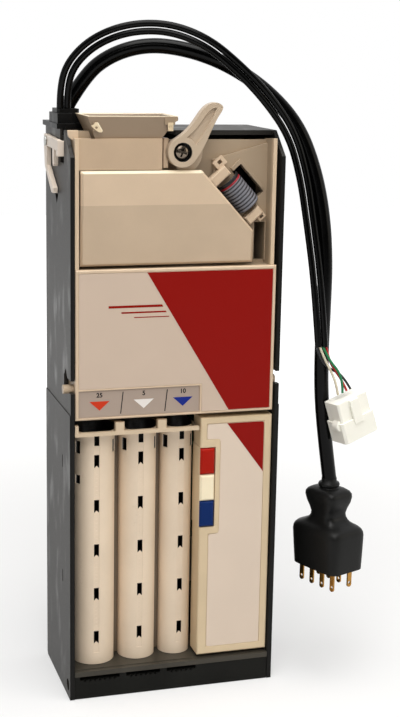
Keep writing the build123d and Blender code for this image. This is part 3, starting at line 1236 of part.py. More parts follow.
def plug_blades():
    """Eight flat brass blades with rounded ends and a hole in each, one turned crosswise."""
    blades = []
    for row in (-1, 1):
        for column in range(4):
            x = row * BLADE_ROWS / 2
            y = (column - 1.5) * BLADE_PITCH
            blade = Box(BLADE_THICKNESS, BLADE_WIDTH, BLADE_LENGTH)
            blade = fillet(blade.edges().filter_by(Axis.X).group_by(Axis.Z)[0], BLADE_WIDTH / 2 - 0.2)
            blade -= Pos(0, 0, -BLADE_LENGTH / 2 + 3.0) * Rot(0, 90, 0) * Cylinder(1.0, 3)
            turn = 90 if row == 1 and column == 0 else 0
            blades.append(plug_place * Pos(x, y, box_foot - BLADE_LENGTH / 2) * Rot(0, 0, turn) * blade)
    return Compound(children=blades)


save(plug_body(), "plug_body")
save(plug_blades(), "plug_blades")

# ---- White connector ----
CONNECTOR_TILT = -17.0
CONNECTOR_YAW = 14.0
CONNECTOR_WIDTH = 24.0
CONNECTOR_DEPTH = 15.0
CONNECTOR_HEIGHT = 27.0
CELL_PITCH = 6.6
connector_place = Pos(112.6, -49.0, 180.5) * Rot(0, CONNECTOR_TILT, CONNECTOR_YAW)


def connector_housing():
    """Nylon housing: a two-row block of cells with a collar, a latch arm and side ribs."""
    body = Box(CONNECTOR_WIDTH, CONNECTOR_DEPTH, CONNECTOR_HEIGHT)
    body = chamfer(body.edges().filter_by(Axis.Z), 1.0)
    skirt = Pos(0, 0, -CONNECTOR_HEIGHT / 2 + 7) * Box(CONNECTOR_WIDTH + 2.4, CONNECTOR_DEPTH + 2.4, 14)
    body += chamfer(skirt.edges().filter_by(Axis.Z), 1.4)
    body += Pos(0, -CONNECTOR_DEPTH / 2 - 1.4, 5) * Box(7, 1.4, 16)
    body += Pos(0, -CONNECTOR_DEPTH / 2 - 0.6, 11) * Box(7, 3.0, 4)
    for column in (-1, 0, 1):
        for row in (-1, 1):
            body -= Pos(column * CELL_PITCH, row * 3.3, -CONNECTOR_HEIGHT / 2 + 5) * Box(5.0, 5.0, 12)
    return connector_place * body


def connector_contacts():
    """One folded pin in each cell."""
    pins = []
    for column in (-1, 0, 1):
        for row in (-1, 1):
            pin = Pos(column * CELL_PITCH, row * 3.3, -CONNECTOR_HEIGHT / 2 + 6.5) * Cylinder(1.0, 9)
            pins.append(connector_place * pin)
    return Compound(children=pins)


save(connector_housing(), "connector_housing")
save(connector_contacts(), "connector_contacts")
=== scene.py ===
"""A coin changer's finished surfaces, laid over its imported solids.

Lengths are millimetres where a piece is drawn and metres in its mesh. X is right, -Y is the front, Z is up.
"""

import json
from math import cos, pi, radians, sin

import bmesh
import bpy
from mathutils import Matrix, Vector


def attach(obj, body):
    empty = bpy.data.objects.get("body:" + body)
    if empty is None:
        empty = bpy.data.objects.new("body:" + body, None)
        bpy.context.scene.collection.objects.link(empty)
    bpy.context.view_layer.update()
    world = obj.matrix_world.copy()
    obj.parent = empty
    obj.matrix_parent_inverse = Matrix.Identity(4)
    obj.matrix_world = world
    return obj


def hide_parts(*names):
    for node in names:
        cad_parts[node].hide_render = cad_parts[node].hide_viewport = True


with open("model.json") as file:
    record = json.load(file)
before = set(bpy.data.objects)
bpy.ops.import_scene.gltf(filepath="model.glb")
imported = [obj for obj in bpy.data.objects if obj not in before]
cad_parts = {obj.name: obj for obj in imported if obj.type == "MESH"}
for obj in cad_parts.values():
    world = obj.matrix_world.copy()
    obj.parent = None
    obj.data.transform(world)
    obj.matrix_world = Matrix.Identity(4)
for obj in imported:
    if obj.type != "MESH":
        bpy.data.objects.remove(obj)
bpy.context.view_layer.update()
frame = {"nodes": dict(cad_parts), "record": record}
scene = bpy.context.scene
scene.view_settings.view_transform = "Standard"

# ---- Viewpoint ----
# A 36 mm sensor lies along the picture's long side. The camera stands left of the middle and above,
# and is tipped slightly to one side.
CAMERA_PLACE = (-0.2423, -0.8722, 0.4139)
CAMERA_YAW = radians(17.113)
CAMERA_PITCH = radians(12.504)
CAMERA_ROLL = radians(1.0745)
CAMERA_LENS = 72.05


def linked(name, data):
    """A new object in the scene that holds a mesh, curve, lens or lamp."""
    made = bpy.data.objects.new(name, data)
    scene.collection.objects.link(made)
    return made


level_right = Vector((cos(CAMERA_YAW), -sin(CAMERA_YAW), 0))
forward = Vector((sin(CAMERA_YAW) * cos(CAMERA_PITCH), cos(CAMERA_YAW) * cos(CAMERA_PITCH),
                  -sin(CAMERA_PITCH)))
level_up = level_right.cross(forward)
camera_right = level_right * cos(CAMERA_ROLL) + level_up * sin(CAMERA_ROLL)
camera_up = level_up * cos(CAMERA_ROLL) - level_right * sin(CAMERA_ROLL)
camera_lens = bpy.data.cameras.new("viewpoint")
camera_lens.lens = CAMERA_LENS
camera = linked("viewpoint", camera_lens)
camera_turn = Matrix((camera_right, camera_up, -forward)).transposed()
camera.matrix_world = Matrix.Translation(CAMERA_PLACE) @ camera_turn.to_4x4()
scene.camera = camera

# ---- Cords ----
# A mains cable and a pair of thin data cables, black PVC over stranded copper, leave the rubber boot
# and hang down the right side. The mains cable ends in the plug, and the pair's four leads in the
# white connector.
MM = 0.001


def srgb(red, green, blue):
    """A colour in 0 to 255 as the linear colour that a shader takes."""
    return tuple(((c / 255 + 0.055) / 1.055) ** 2.4 if c > 10 else c / 255 / 12.92
                 for c in (red, green, blue))


class Value:
    """A node's output that arithmetic acts on: each operator adds its Math node."""

    def __init__(self, graph, socket):
        self.graph, self.socket = graph, socket

    def math(self, operation, *terms):
        given = dict(enumerate(terms or (self,)))
        return self.graph.node("ShaderNodeMath", {"operation": operation}, given)

    def __add__(self, other):
        return self.math("ADD", self, other)

    def __sub__(self, other):
        return self.math("SUBTRACT", self, other)

    def __rsub__(self, other):
        return self.math("SUBTRACT", other, self)

    def __mul__(self, other):
        return self.math("MULTIPLY", self, other)

    def __gt__(self, other):
        return self.math("GREATER_THAN", self, other)

    def __lt__(self, other):
        return self.math("LESS_THAN", self, other)

    def step(self, low, high):
        """0 below low, 1 above high, and a smooth rise between them."""
        span = {"Value": self, "From Min": low, "From Max": high}
        return self.graph.node("ShaderNodeMapRange", {"interpolation_type": "SMOOTHSTEP"}, span)

    def other(self, name):
        """Another output of the same node."""
        return Value(self.graph, self.socket.node.outputs[name])

    __radd__ = __add__
    __rmul__ = __mul__


class Graph:
    """A node tree, of a material or of Geometry Nodes, and the one way that nodes come into it."""

    def __init__(self, tree):
        self.tree = tree

    def node(self, kind, settings=None, sockets=None, output=0):
        made = self.tree.nodes.new(kind)
        for name, value in (settings or {}).items():
            setattr(made, name, value)
        for key, value in (sockets or {}).items():
            if isinstance(value, Value):
                self.tree.links.new(value.socket, made.inputs[key])
            else:
                made.inputs[key].default_value = value
        return Value(self, made.outputs[output]) if len(made.outputs) else None


class Finish(Graph):
    """A material with one Principled shader. Constants sit on the shader's own sockets."""

    def __init__(self, name, colour, roughness, **constants):
        self.material = bpy.data.materials.new(name)
        self.material.use_nodes = True
        super().__init__(self.material.node_tree)
        self.shader = self.tree.nodes["Principled BSDF"]
        self.place = self.node("ShaderNodeTexCoord", output="Object")
        self.shader.inputs["Base Color"].default_value = (*colour, 1)
        self.shader.inputs["Roughness"].default_value = roughness
        for socket, value in constants.items():
            self.shader.inputs[socket.replace("_", " ")].default_value = value

    def drive(self, socket, value):
        self.tree.links.new(value.socket, self.shader.inputs[socket])

    def noise(self, scale, detail=2.0, stretch=(1, 1, 1)):
        """Cloudy noise from 0 to 1, scale lumps to the metre."""
        place = self.node("ShaderNodeMapping", {}, {"Vector": self.place, "Scale": stretch})
        return self.node("ShaderNodeTexNoise", {}, {"Vector": place, "Scale": scale, "Detail": detail})

    def blend(self, share, first, second):
        """A mix of two colours, each linear RGB or another Value."""
        ends = [c if isinstance(c, Value) else (*c, 1) for c in (first, second)]
        return self.node("ShaderNodeMix", {"data_type": "RGBA"}, {0: share, 6: ends[0], 7: ends[1]}, 2)

    def raised(self, height, depth):
        """Drives Normal from a height of 0 to 1 that stands for a depth in metres."""
        relief = {"Height": height, "Distance": depth, "Strength": 1.0}
        self.drive("Normal", self.node("ShaderNodeBump", {}, relief))


def shade(colour, factor):
    """A colour made lighter or darker."""
    return tuple(min(1.0, c * factor) for c in colour)


CLOUDS_PER_METRE, RUBS_PER_METRE = 26, 75
SPECK_SHADE = 0.6


def moulded(name, colour, roughness, mottle=0.08, grain=0.00004, grain_scale=1400, rub=0.12, zones=(),
            **constants):
    """Moulded plastic or rubber: slow changes of shade, a fine spark-eroded grain and rubbed places.

    Each zone is a share, from a function of the object's X, Y and Z in millimetres, and its colour.
    """
    finish = Finish(name, colour, roughness, **constants)
    cloud = finish.noise(CLOUDS_PER_METRE, 4).step(0.35, 0.65)
    speck = finish.noise(grain_scale, 3)
    rubbed = finish.noise(RUBS_PER_METRE, 6, (1, 1, 0.4)).step(0.52, 0.72)
    body = finish.blend(cloud, shade(colour, 1 - mottle), shade(colour, 1 + mottle))
    if zones:
        x, y, z = (finish.node("ShaderNodeSeparateXYZ", {}, {0: finish.place}, axis) * (1 / MM)
                   for axis in "XYZ")
    for share, zone_colour in zones:
        body = finish.blend(share(x, y, z), body, zone_colour)
    specks = speck.step(0.3, 0.75) * mottle
    finish.drive("Base Color", finish.blend(specks, body, shade(colour, SPECK_SHADE)))
    finish.drive("Roughness", rubbed * -rub + speck * 0.12 + (roughness - 0.06 + rub / 3))
    finish.raised(speck, grain)
    return finish


cord_rubber = moulded("cord_rubber", srgb(3, 3, 3), 0.2, 0.2, 0.00002, 500, 0.06, Specular_IOR_Level=0.12)
lead_colours = {"red": srgb(190, 22, 14), "green": srgb(10, 120, 70), "cream": srgb(225, 215, 190),
                "black": srgb(22, 22, 24)}
lead_finishes = {name: moulded(f"lead_{name}", colour, 0.35) for name, colour in lead_colours.items()}

# Each route is a cord's centre line from the boot, or from its cable's cut end, to its far end.
BOOT_TOP = 371.5
MAIN_ROUTE = [
    (-61.0, 14.0, BOOT_TOP - 2.5), (-49.0, 10.5, 391.0), (-33.0, 5.5, 404.5), (-11.5, -1.0, 411.0),
    (12.0, -8.5, 408.5), (36.0, -14.5, 400.0), (59.5, -20.0, 385.0), (79.0, -25.5, 364.0),
    (89.5, -30.0, 337.0), (95.0, -34.0, 308.0), (96.8, -36.5, 279.0), (96.2, -37.8, 250.0),
    (95.6, -38.2, 221.0), (96.6, -38.0, 192.0), (100.0, -38.4, 163.5), (104.0, -39.0, 136.5),
]
DATA_A_ROUTE = [
    (-64.8, 5.6, BOOT_TOP - 2.0), (-65.3, 4.0, 384.3), (-61.0, 0.5, 400.2), (-47.3, -5.0, 414.4),
    (-27.0, -11.0, 422.8), (-3.2, -18.0, 423.8), (20.1, -25.0, 415.5), (40.0, -29.0, 399.7),
    (59.2, -30.5, 381.5), (75.6, -31.5, 359.0), (83.3, -34.5, 332.0), (86.8, -38.5, 304.8),
    (90.3, -42.0, 277.3), (92.8, -44.5, 250.2), (94.6, -46.0, 226.0),
]
DATA_B_ROUTE = [
    (-60.2, 5.6, BOOT_TOP - 2.0), (-60.7, 4.0, 383.7), (-56.9, 0.5, 397.8), (-44.6, -5.0, 410.3),
    (-26.0, -11.0, 418.2), (-3.8, -18.0, 419.2), (17.9, -25.0, 411.3), (36.9, -29.0, 396.3),
    (55.3, -30.5, 378.3), (71.4, -31.5, 357.0), (78.7, -34.5, 331.0), (82.2, -38.5, 304.2),
    (85.7, -42.0, 276.7), (88.2, -44.5, 249.8), (90.1, -46.0, 226.0),
]
RED_ROUTE = [
    (95.6, -46.0, 226.0), (97.2, -46.6, 218.0), (101.0, -47.6, 211.0), (106.0, -48.4, 204.5),
    (109.5, -48.8, 197.2),
]
GREEN_ROUTE = [
    (93.2, -46.4, 226.0), (97.0, -48.6, 217.5), (103.0, -50.4, 210.5), (105.8, -50.6, 202.5),
    (106.4, -49.6, 196.2),
]
CREAM_ROUTE = [
    (91.0, -46.6, 226.0), (94.0, -47.4, 218.5), (99.5, -48.6, 208.5), (102.0, -50.0, 201.0),
    (103.4, -49.4, 195.0),
]
BLACK_ROUTE = [
    (89.2, -46.0, 226.0), (92.4, -45.2, 217.0), (99.0, -45.2, 211.0), (107.0, -46.4, 207.5),
    (112.5, -48.0, 198.0),
]
MAIN_DIAMETER, DATA_DIAMETER, LEAD_DIAMETER = 9.4, 4.2, 1.6
STEPS_PER_BEND, ROUNDNESS = 10, 7
CORDS = {
    "main_cable": (MAIN_ROUTE, MAIN_DIAMETER, 408.5, cord_rubber, "cord_black"),
    "data_cable_a": (DATA_A_ROUTE, DATA_DIAMETER, 339.4, cord_rubber, "cord_black"),
    "data_cable_b": (DATA_B_ROUTE, DATA_DIAMETER, 325.1, cord_rubber, "cord_black"),
    "wire_red": (RED_ROUTE, LEAD_DIAMETER, 32.5, lead_finishes["red"], "wire_red"),
    "wire_green": (GREEN_ROUTE, LEAD_DIAMETER, 33.6, lead_finishes["green"], "wire_green"),
    "wire_cream": (CREAM_ROUTE, LEAD_DIAMETER, 33.7, lead_finishes["cream"], "wire_cream"),
    "wire_black": (BLACK_ROUTE, LEAD_DIAMETER, 37.9, lead_finishes["black"], "wire_black"),
}
for node, (route, diameter, length, finish, slot) in CORDS.items():
    line = bpy.data.curves.new(f"{node}_cord", "CURVE")
    line.dimensions = "3D"
    spline = line.splines.new("NURBS")
    spline.points.add(len(route) - 1)
    for point, place in zip(spline.points, route):
        point.co = (*(Vector(place) * MM), 1)
    spline.order_u = 3
    spline.use_endpoint_u = True
    spline.resolution_u = STEPS_PER_BEND
    line.bevel_depth = diameter / 2 * MM
    line.bevel_resolution = ROUNDNESS
    line.use_fill_caps = True
    line.materials.append(finish.material)
    piece = linked(f"{node}_cord", line)
    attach(piece, "root")
    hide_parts(node)

# ---- Case ----
# The case is a back with a short top and two side walls, injection moulded in dark grey ABS with a
# fine matt grain, rubbed paler where it is handled. Its front edges are painted nearly black, as
# painted shade on the faces that look forward.
bodies_of = {}
for body, nodes in frame["record"]["behaviour"]["bodies"].items():
    bodies_of.update({node: body for node in nodes})
# Faces in front of this line are painted nearly black, as painted shade.
CASE_FRONT_EDGE = -37.6
case_plastic = moulded("case_plastic", srgb(48, 46, 43), 0.4, 0.14, 0.00006, 1100, 0.14,
                       zones=[(lambda x, y, z: (y < CASE_FRONT_EDGE) * 0.9, srgb(10, 10, 9))],
                       Specular_IOR_Level=0.16)


def settle(piece, finish, slot, *nodes, body=None):
    """Gives a piece its finish and its body, and hides the solids that it stands in for."""
    piece.data.materials.clear()
    piece.data.materials.append(finish.material)
    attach(piece, body or bodies_of[nodes[0]])
    if nodes:
        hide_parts(*nodes)
    return piece


def plain_mesh(piece):
    """Turns an object with its modifiers into a plain mesh object of the same name."""
    ready = bpy.data.meshes.new_from_object(piece.evaluated_get(bpy.context.evaluated_depsgraph_get()))
    name = piece.name
    bpy.data.objects.remove(piece)
    return linked(name, ready)


def eased(piece, radius, angle=32, segments=2):
    """Rounds every edge sharper than an angle, and smooths what is left."""
    bevel = piece.modifiers.new("edge", "BEVEL")
    bevel.width = radius * MM
    bevel.segments = segments
    bevel.limit_method = "ANGLE"
    bevel.angle_limit = radians(angle)
    bevel.use_clamp_overlap = True
    bevel.harden_normals = True
    for face in piece.data.polygons:
        face.use_smooth = True
    return plain_mesh(piece)


SAME_CORNER = 0.002
SAME_FACE = radians(0.6)


def solid_copy(node):
    """A solid's own mesh with its corners merged and its flat faces made whole."""
    piece = linked(f"{node}_finished", frame["nodes"][node].data.copy())
    shape = bmesh.new()
    shape.from_mesh(piece.data)
    bmesh.ops.remove_doubles(shape, verts=shape.verts, dist=SAME_CORNER * MM)
    bmesh.ops.dissolve_limit(shape, angle_limit=SAME_FACE, verts=shape.verts, edges=shape.edges)
    shape.to_mesh(piece.data)
    shape.free()
    if piece.data.has_custom_normals:
        bpy.context.view_layer.objects.active = piece
        bpy.ops.mesh.customdata_custom_splitnormals_clear()
    return piece


def rounded(node, finish, slot, radius, angle=32):
    """A solid as moulded or stamped, with its edges eased."""
    return settle(eased(solid_copy(node), radius, angle), finish, slot, node)


for node in ("housing_shell", "housing_left_wall", "housing_right_wall"):
    rounded(node, case_plastic, "case_grey", 0.5)

# ---- Payout base ----
# Tray and deck are dark grey-green ABS. The tray's front has a toothed slot under each tube, and three
# chromed sheet-steel pushers slide on its bed, each driven by a coil's plunger.
base_plastic = moulded("base_plastic", srgb(30, 30, 28), 0.5, 0.14, 0.00005, Specular_IOR_Level=0.07)
deck_plastic = moulded("deck_plastic", srgb(62, 58, 50), 0.38, 0.15, 0.00003, Specular_IOR_Level=0.3)
rounded("base_tray", base_plastic, "base_grey", 0.3)
rounded("payout_deck", deck_plastic, "deck_plastic", 0.35)


def metal(name, colour, roughness, brush=(1, 1, 1), scratch=0.00001):
    """Bare or plated metal with brush marks along one direction and dull smears."""
    finish = Finish(name, colour, roughness, Metallic=1.0)
    marks = finish.noise(2600, 2, brush)
    smear = finish.noise(120, 4).step(0.4, 0.7)
    finish.drive("Base Color", finish.blend(smear, colour, shade(colour, 0.78)))
    finish.drive("Roughness", marks * 0.14 + smear * 0.12 + (roughness - 0.1))
    finish.raised(marks, scratch)
    return finish


plated_steel = metal("plated_steel", srgb(190, 190, 186), 0.3, (1, 1, 0.1))
coil_can = metal("coil_can", srgb(176, 172, 160), 0.42, (1, 1, 0.1))
for coin in ("quarter", "nickel", "dime"):
    rounded(f"payout_slide_{coin}", plated_steel, "slide_steel", 0.15)
rounded("payout_solenoids", coil_can, "coil_steel", 0.3)

# ---- Coin tubes ----
# Three ivory tubes of moulded styrene stand side by side, slotted to show the coins' height. A shallow
# strip between the slots carries embossed level marks. Each tube is an axis in X and an outer radius.
TUBES = {"quarter": (-48.45, 13.55), "nickel": (-19.7, 12.0), "dime": (5.85, 10.35)}
TUBE_AXIS_Y = -16.3
# The walls of the bores are painted nearly black as painted shade, from a little inside each tube's outer
# radius.
SHADE_EDGE = 0.5
DEEP_SHADE = srgb(20, 16, 12)


def round_axis(value, other, at, other_at, radius):
    """1 nearer than a radius to an axis, 0 beyond it."""
    off = value.graph.node("ShaderNodeCombineXYZ", {}, {"X": value - at, "Y": other - other_at})
    return value.graph.node("ShaderNodeVectorMath", {"operation": "LENGTH"}, {0: off}, "Value") < radius


def in_bores(x, y, z):
    """1 on the walls of the three bores, which are painted dark as painted shade."""
    inside = [round_axis(x, y, at, TUBE_AXIS_Y, radius - SHADE_EDGE) for at, radius in TUBES.values()]
    return inside[0] + inside[1] + inside[2]


tube_styrene = moulded("tube_styrene", srgb(234, 214, 189), 0.34, 0.04, 0.00001, 900, 0.1,
                       zones=[(in_bores, DEEP_SHADE)])
WINDOW_SHIFT = {"quarter": -0.7, "nickel": -0.6, "dime": 1.2}
WINDOW_PITCH = 29.4
FIRST_MARK_Z = 45.4
MARK_ROWS = 4
MARKS = 6
MARK_PITCH = 2.6
MARK_WIDTH = 1.2
MARK_HEIGHT = 0.7
MARK_DEPTH = 0.2
MARK_SEAT = 0.06
STRIP_DEPTH = 0.35


def make_mark_tree():
    """Geometry Nodes: a column of rows of small embossed bars."""
    graph = Graph(bpy.data.node_groups.new("level_marks", "GeometryNodeTree"))
    face = graph.tree.interface
    for name, kind in (("Rows", "NodeSocketInt"), ("Marks", "NodeSocketInt"),
                       ("Row pitch", "NodeSocketFloat"), ("Mark pitch", "NodeSocketFloat"),
                       ("Size", "NodeSocketVector"), ("Start", "NodeSocketVector"),
                       ("Finish", "NodeSocketMaterial")):
        face.new_socket(name, in_out="INPUT", socket_type=kind)
    face.new_socket("Geometry", in_out="OUTPUT", socket_type="NodeSocketGeometry")
    given = graph.node("NodeGroupInput")
    bar = graph.node("GeometryNodeMeshCube", {}, {"Size": given.other("Size")})
    up_row = graph.node("ShaderNodeCombineXYZ", {}, {"Z": given.other("Mark pitch")})
    up_rows = graph.node("ShaderNodeCombineXYZ", {}, {"Z": given.other("Row pitch")})
    row = graph.node("GeometryNodeMeshLine", {}, {"Count": given.other("Marks"), "Offset": up_row})
    rows = graph.node("GeometryNodeMeshLine", {}, {"Count": given.other("Rows"), "Offset": up_rows,
                                                   "Start Location": given.other("Start")})
    one_row = graph.node("GeometryNodeInstanceOnPoints", {}, {"Points": row, "Instance": bar})
    all_rows = graph.node("GeometryNodeInstanceOnPoints", {}, {"Points": rows, "Instance": one_row})
    real = graph.node("GeometryNodeRealizeInstances", {}, {"Geometry": all_rows})
    painted = graph.node("GeometryNodeSetMaterial", {},
                         {"Geometry": real, "Material": given.other("Finish")})
    graph.node("NodeGroupOutput", {}, {0: painted})
    return graph.tree


def grown(name, tree, values):
    """The plain mesh that a Geometry Nodes tree makes from the named inputs."""
    piece = linked(name, bpy.data.meshes.new(name))
    modifier = piece.modifiers.new("grow", "NODES")
    modifier.node_group = tree
    for item in tree.interface.items_tree:
        if item.in_out == "INPUT" and item.name in values:
            modifier[item.identifier] = values[item.name]
    return plain_mesh(piece)


mark_tree = make_mark_tree()
for coin, (x, radius) in TUBES.items():
    rounded(f"{coin}_tube", tube_styrene, "tube_ivory", 0.07, 50)
    front = TUBE_AXIS_Y - radius + STRIP_DEPTH - MARK_DEPTH / 2 + MARK_SEAT
    marks = grown(f"{coin}_tube_marks", mark_tree, {
        "Rows": MARK_ROWS, "Marks": MARKS, "Row pitch": WINDOW_PITCH * MM, "Mark pitch": MARK_PITCH * MM,
        "Size": (MARK_WIDTH * MM, MARK_DEPTH * MM, MARK_HEIGHT * MM),
        "Start": ((x + WINDOW_SHIFT[coin]) * MM, front * MM, FIRST_MARK_Z * MM),
        "Finish": tube_styrene.material})
    settle(marks, tube_styrene, "tube_ivory", body="cassette")

# ---- Cassette frame ----
# One beige moulding carries the tubes: a thin rail in front of their open mouths, posts, a web and a
# back plate. Its front is clean, and it is painted darker towards the back as painted shade; its bores
# carry the same painted shade as the tubes'.
beige_plastic = moulded("beige_plastic", srgb(214, 190, 162), 0.4, 0.04, 0.00002, 1200, 0.1)
# UMBER is painted shade for the deeper and the downward-facing parts of the beige mouldings.
UMBER = srgb(70, 56, 40)
frame_plastic = moulded("frame_plastic", srgb(214, 192, 163), 0.4, 0.04, 0.00002, 1200, 0.1,
                        zones=[(lambda x, y, z: y.step(-35.5, -29) * 0.75, UMBER), (in_bores, DEEP_SHADE)])
rounded("cassette_frame", frame_plastic, "beige", 0.25)

# ---- Control cover and keys ----
# The cover is a hollow beige moulding with a sunk face for its printed sheet. Three bevelled keys, red,
# white and blue, stand in an open bay and press switches on a narrow board.
KEY_COLOURS = {"red": srgb(168, 22, 4), "white": srgb(255, 238, 206), "blue": srgb(2, 38, 96)}
cover_plastic = moulded("cover_plastic", srgb(218, 196, 161), 0.38, 0.04, 0.00002, 1200, 0.1)
rounded("control_cover", cover_plastic, "beige", 0.3)
for key, colour in KEY_COLOURS.items():
    finish = moulded(f"key_{key}_plastic", colour, 0.32, 0.03, 0.00001, Specular_IOR_Level=0.13)
    rounded(f"{key}_button", finish, f"key_{key}", 0.45)


def formed(name, shape):
    """An object whose mesh is a finished bmesh."""
    mesh = bpy.data.meshes.new(name)
    shape.to_mesh(mesh)
    shape.free()
    return linked(name, mesh)


def block(name, low, high):
    """A box between two corners, in millimetres, ready for its edges to be eased."""
    shape = bmesh.new()
    bmesh.ops.create_cube(shape, size=1.0)
    for corner in shape.verts:
        corner.co = [(a + (b - a) * (c + 0.5)) * MM for a, b, c in zip(low, high, corner.co)]
    return formed(name, shape)


BAY_SKIRT = ((16.26, -35.9, 108.9), (16.5, -20.6, 161.9))
bay_skirt = eased(block("key_bay_skirt", *BAY_SKIRT), 0.05)
settle(bay_skirt, cover_plastic, "beige", body="root")


def printed_sheet(name, colour):
    """Screen-printed polyester: smooth, with the faint orange peel of its ink."""
    finish = Finish(name, colour, 0.34, Specular_IOR_Level=0.12)
    peel = finish.noise(700, 2)
    cloud = finish.noise(30, 3)
    finish.drive("Base Color", finish.blend(cloud, shade(colour, 0.96), shade(colour, 1.04)))
    finish.drive("Roughness", peel * 0.12 + cloud * 0.08 + 0.24)
    finish.raised(peel, 0.000012)
    return finish


sheet_print = printed_sheet("sheet_print", srgb(206, 186, 168))
red_print = printed_sheet("red_print", srgb(140, 10, 2))
board_green = moulded("board_green", srgb(24, 84, 52), 0.35, 0.1, 0.00003, 700)
rounded("button_board", board_green, "circuit_board", 0.1)


def plate(name, outlines, front, back, edge=0.0):
    """A plate in XZ from closed outlines, the first its rim and the rest holes, with eased edges."""
    flat = bpy.data.curves.new(name, "CURVE")
    flat.dimensions = "2D"
    flat.fill_mode = "BOTH"
    for outline in outlines:
        spline = flat.splines.new("POLY")
        spline.points.add(len(outline) - 1)
        for point, (x, z) in zip(spline.points, outline):
            point.co = (x * MM, z * MM, 0, 1)
        spline.use_cyclic_u = True
    flat.extrude = (back - front) / 2 * MM - edge * MM
    flat.bevel_depth = edge * MM
    flat.bevel_resolution = 2
    flat.offset = -edge * MM
    piece = plain_mesh(linked(name, flat))
    middle = Matrix.Translation((0, (front + back) / 2 * MM, 0))
    piece.data.transform(middle @ Matrix.Rotation(pi / 2, 4, "X"))
    return piece


PRINT_FILM = 0.06
INK_BITE = 0.02


def printed(name, outline, face, ink, slot, body):
    """A film of ink on the face of a sheet, sunk a little into it."""
    settle(plate(name, [outline], face - PRINT_FILM, face + INK_BITE), ink, slot, body=body)


CORNER_STEPS = 8


def soft_corners(outline, radii):
    """An outline with each corner rounded to its radius, in short steps."""
    soft = []
    for i, (corner, radius) in enumerate(zip(outline, radii)):
        here, before = Vector(corner), Vector(outline[i - 1])
        after = Vector(outline[(i + 1) % len(outline)])
        start = here + (before - here).normalized() * radius
        end = here + (after - here).normalized() * radius
        if radius == 0:
            soft.append(tuple(here))
            continue
        for step in range(CORNER_STEPS + 1):
            t = step / CORNER_STEPS
            soft.append(tuple(start * (1 - t) ** 2 + here * 2 * t * (1 - t) + end * t ** 2))
    return soft


COVER_SHEET_FACE = -36.3
COVER_SHEET_BACK = COVER_SHEET_FACE + 0.38
cover_print = printed_sheet("cover_print", srgb(226, 208, 190))
cover_outline = [(22.9, 26.3), (58.9, 26.3), (58.9, 177.0), (20.9, 177.0), (20.9, 167.0), (29.9, 167.0),
                 (29.9, 103.8), (22.9, 103.8)]
cover_rim = soft_corners(cover_outline, [1.6, 1.6, 1.6, 1.6, 1.6, 2.6, 3.0, 1.6])
cover_sheet = plate("control_label_sheet", [cover_rim], COVER_SHEET_FACE, COVER_SHEET_BACK)
settle(cover_sheet, cover_print, "print_sheet", "control_label")
cover_corner = soft_corners([(34.0, 176.9), (58.8, 176.9), (58.8, 143.5)], [0, 1.7, 0])
printed("cover_corner_print", cover_corner, COVER_SHEET_FACE, red_print, "print_sheet", "root")

# ---- Acceptor ----
# The chassis is one beige moulding of two cheeks, a back plate and shelves, with a trunnion each side.
# It carries the front panel, a shallow moulding with a printed sheet and a grey coin label. It is
# painted darker towards the back as painted shade, and a dark line painted beside its left cheek is
# painted shadow in the gap there. A flag and a shelf stand on that cheek's top.
GROOVE_LEFT, GROOVE_RIGHT, GROOVE_FRONT = -62.95, -61.5, -37.0
FLAG_FRONT, FLAG_BACK = -31.2, -29.6
SHELF_FRONT, SHELF_BACK = -30.9, -29.8


def in_shaded_gap(x, y, z):
    """1 on the strip beside the left cheek, where a dark line is painted as painted shadow."""
    return (x > GROOVE_LEFT) * (x < GROOVE_RIGHT) * (y < GROOVE_FRONT)


# Painted shade: darker towards the back, and nearly black beside the left cheek.
chassis_plastic = moulded("chassis_plastic", srgb(214, 190, 160), 0.4, 0.04, 0.00002, 1200, 0.1,
                          zones=[(lambda x, y, z: y.step(-36.6, -31.5) * 0.45, UMBER),
                                 (lambda x, y, z: in_shaded_gap(x, y, z) * 0.85, DEEP_SHADE)])
rounded("acceptor_chassis", chassis_plastic, "beige", 0.25)
flag_outline = [(-67.8, 360.6), (-61.2, 360.6), (-61.2, 355.0), (-64.6, 354.6), (-67.4, 356.8)]
flag_rim = soft_corners(flag_outline, [0.6, 0.3, 0.3, 0.8, 1.0])
settle(plate("cheek_flag", [flag_rim], FLAG_FRONT, FLAG_BACK, 0.2), beige_plastic, "beige", body="acceptor")
shelf_outline = [(-61.3, 360.3), (-55.0, 360.3), (-53.2, 355.7), (-61.3, 355.7)]
settle(plate("cheek_shelf", [shelf_outline], SHELF_FRONT, SHELF_BACK, 0.1), chassis_plastic, "beige",
       body="acceptor")
rounded("front_panel", beige_plastic, "beige", 0.25)
rounded("panel_overlay", sheet_print, "print_sheet", 0.05)
label_print = printed_sheet("label_print", srgb(173, 156, 143))
rounded("coin_label", label_print, "label_grey", 0.05)

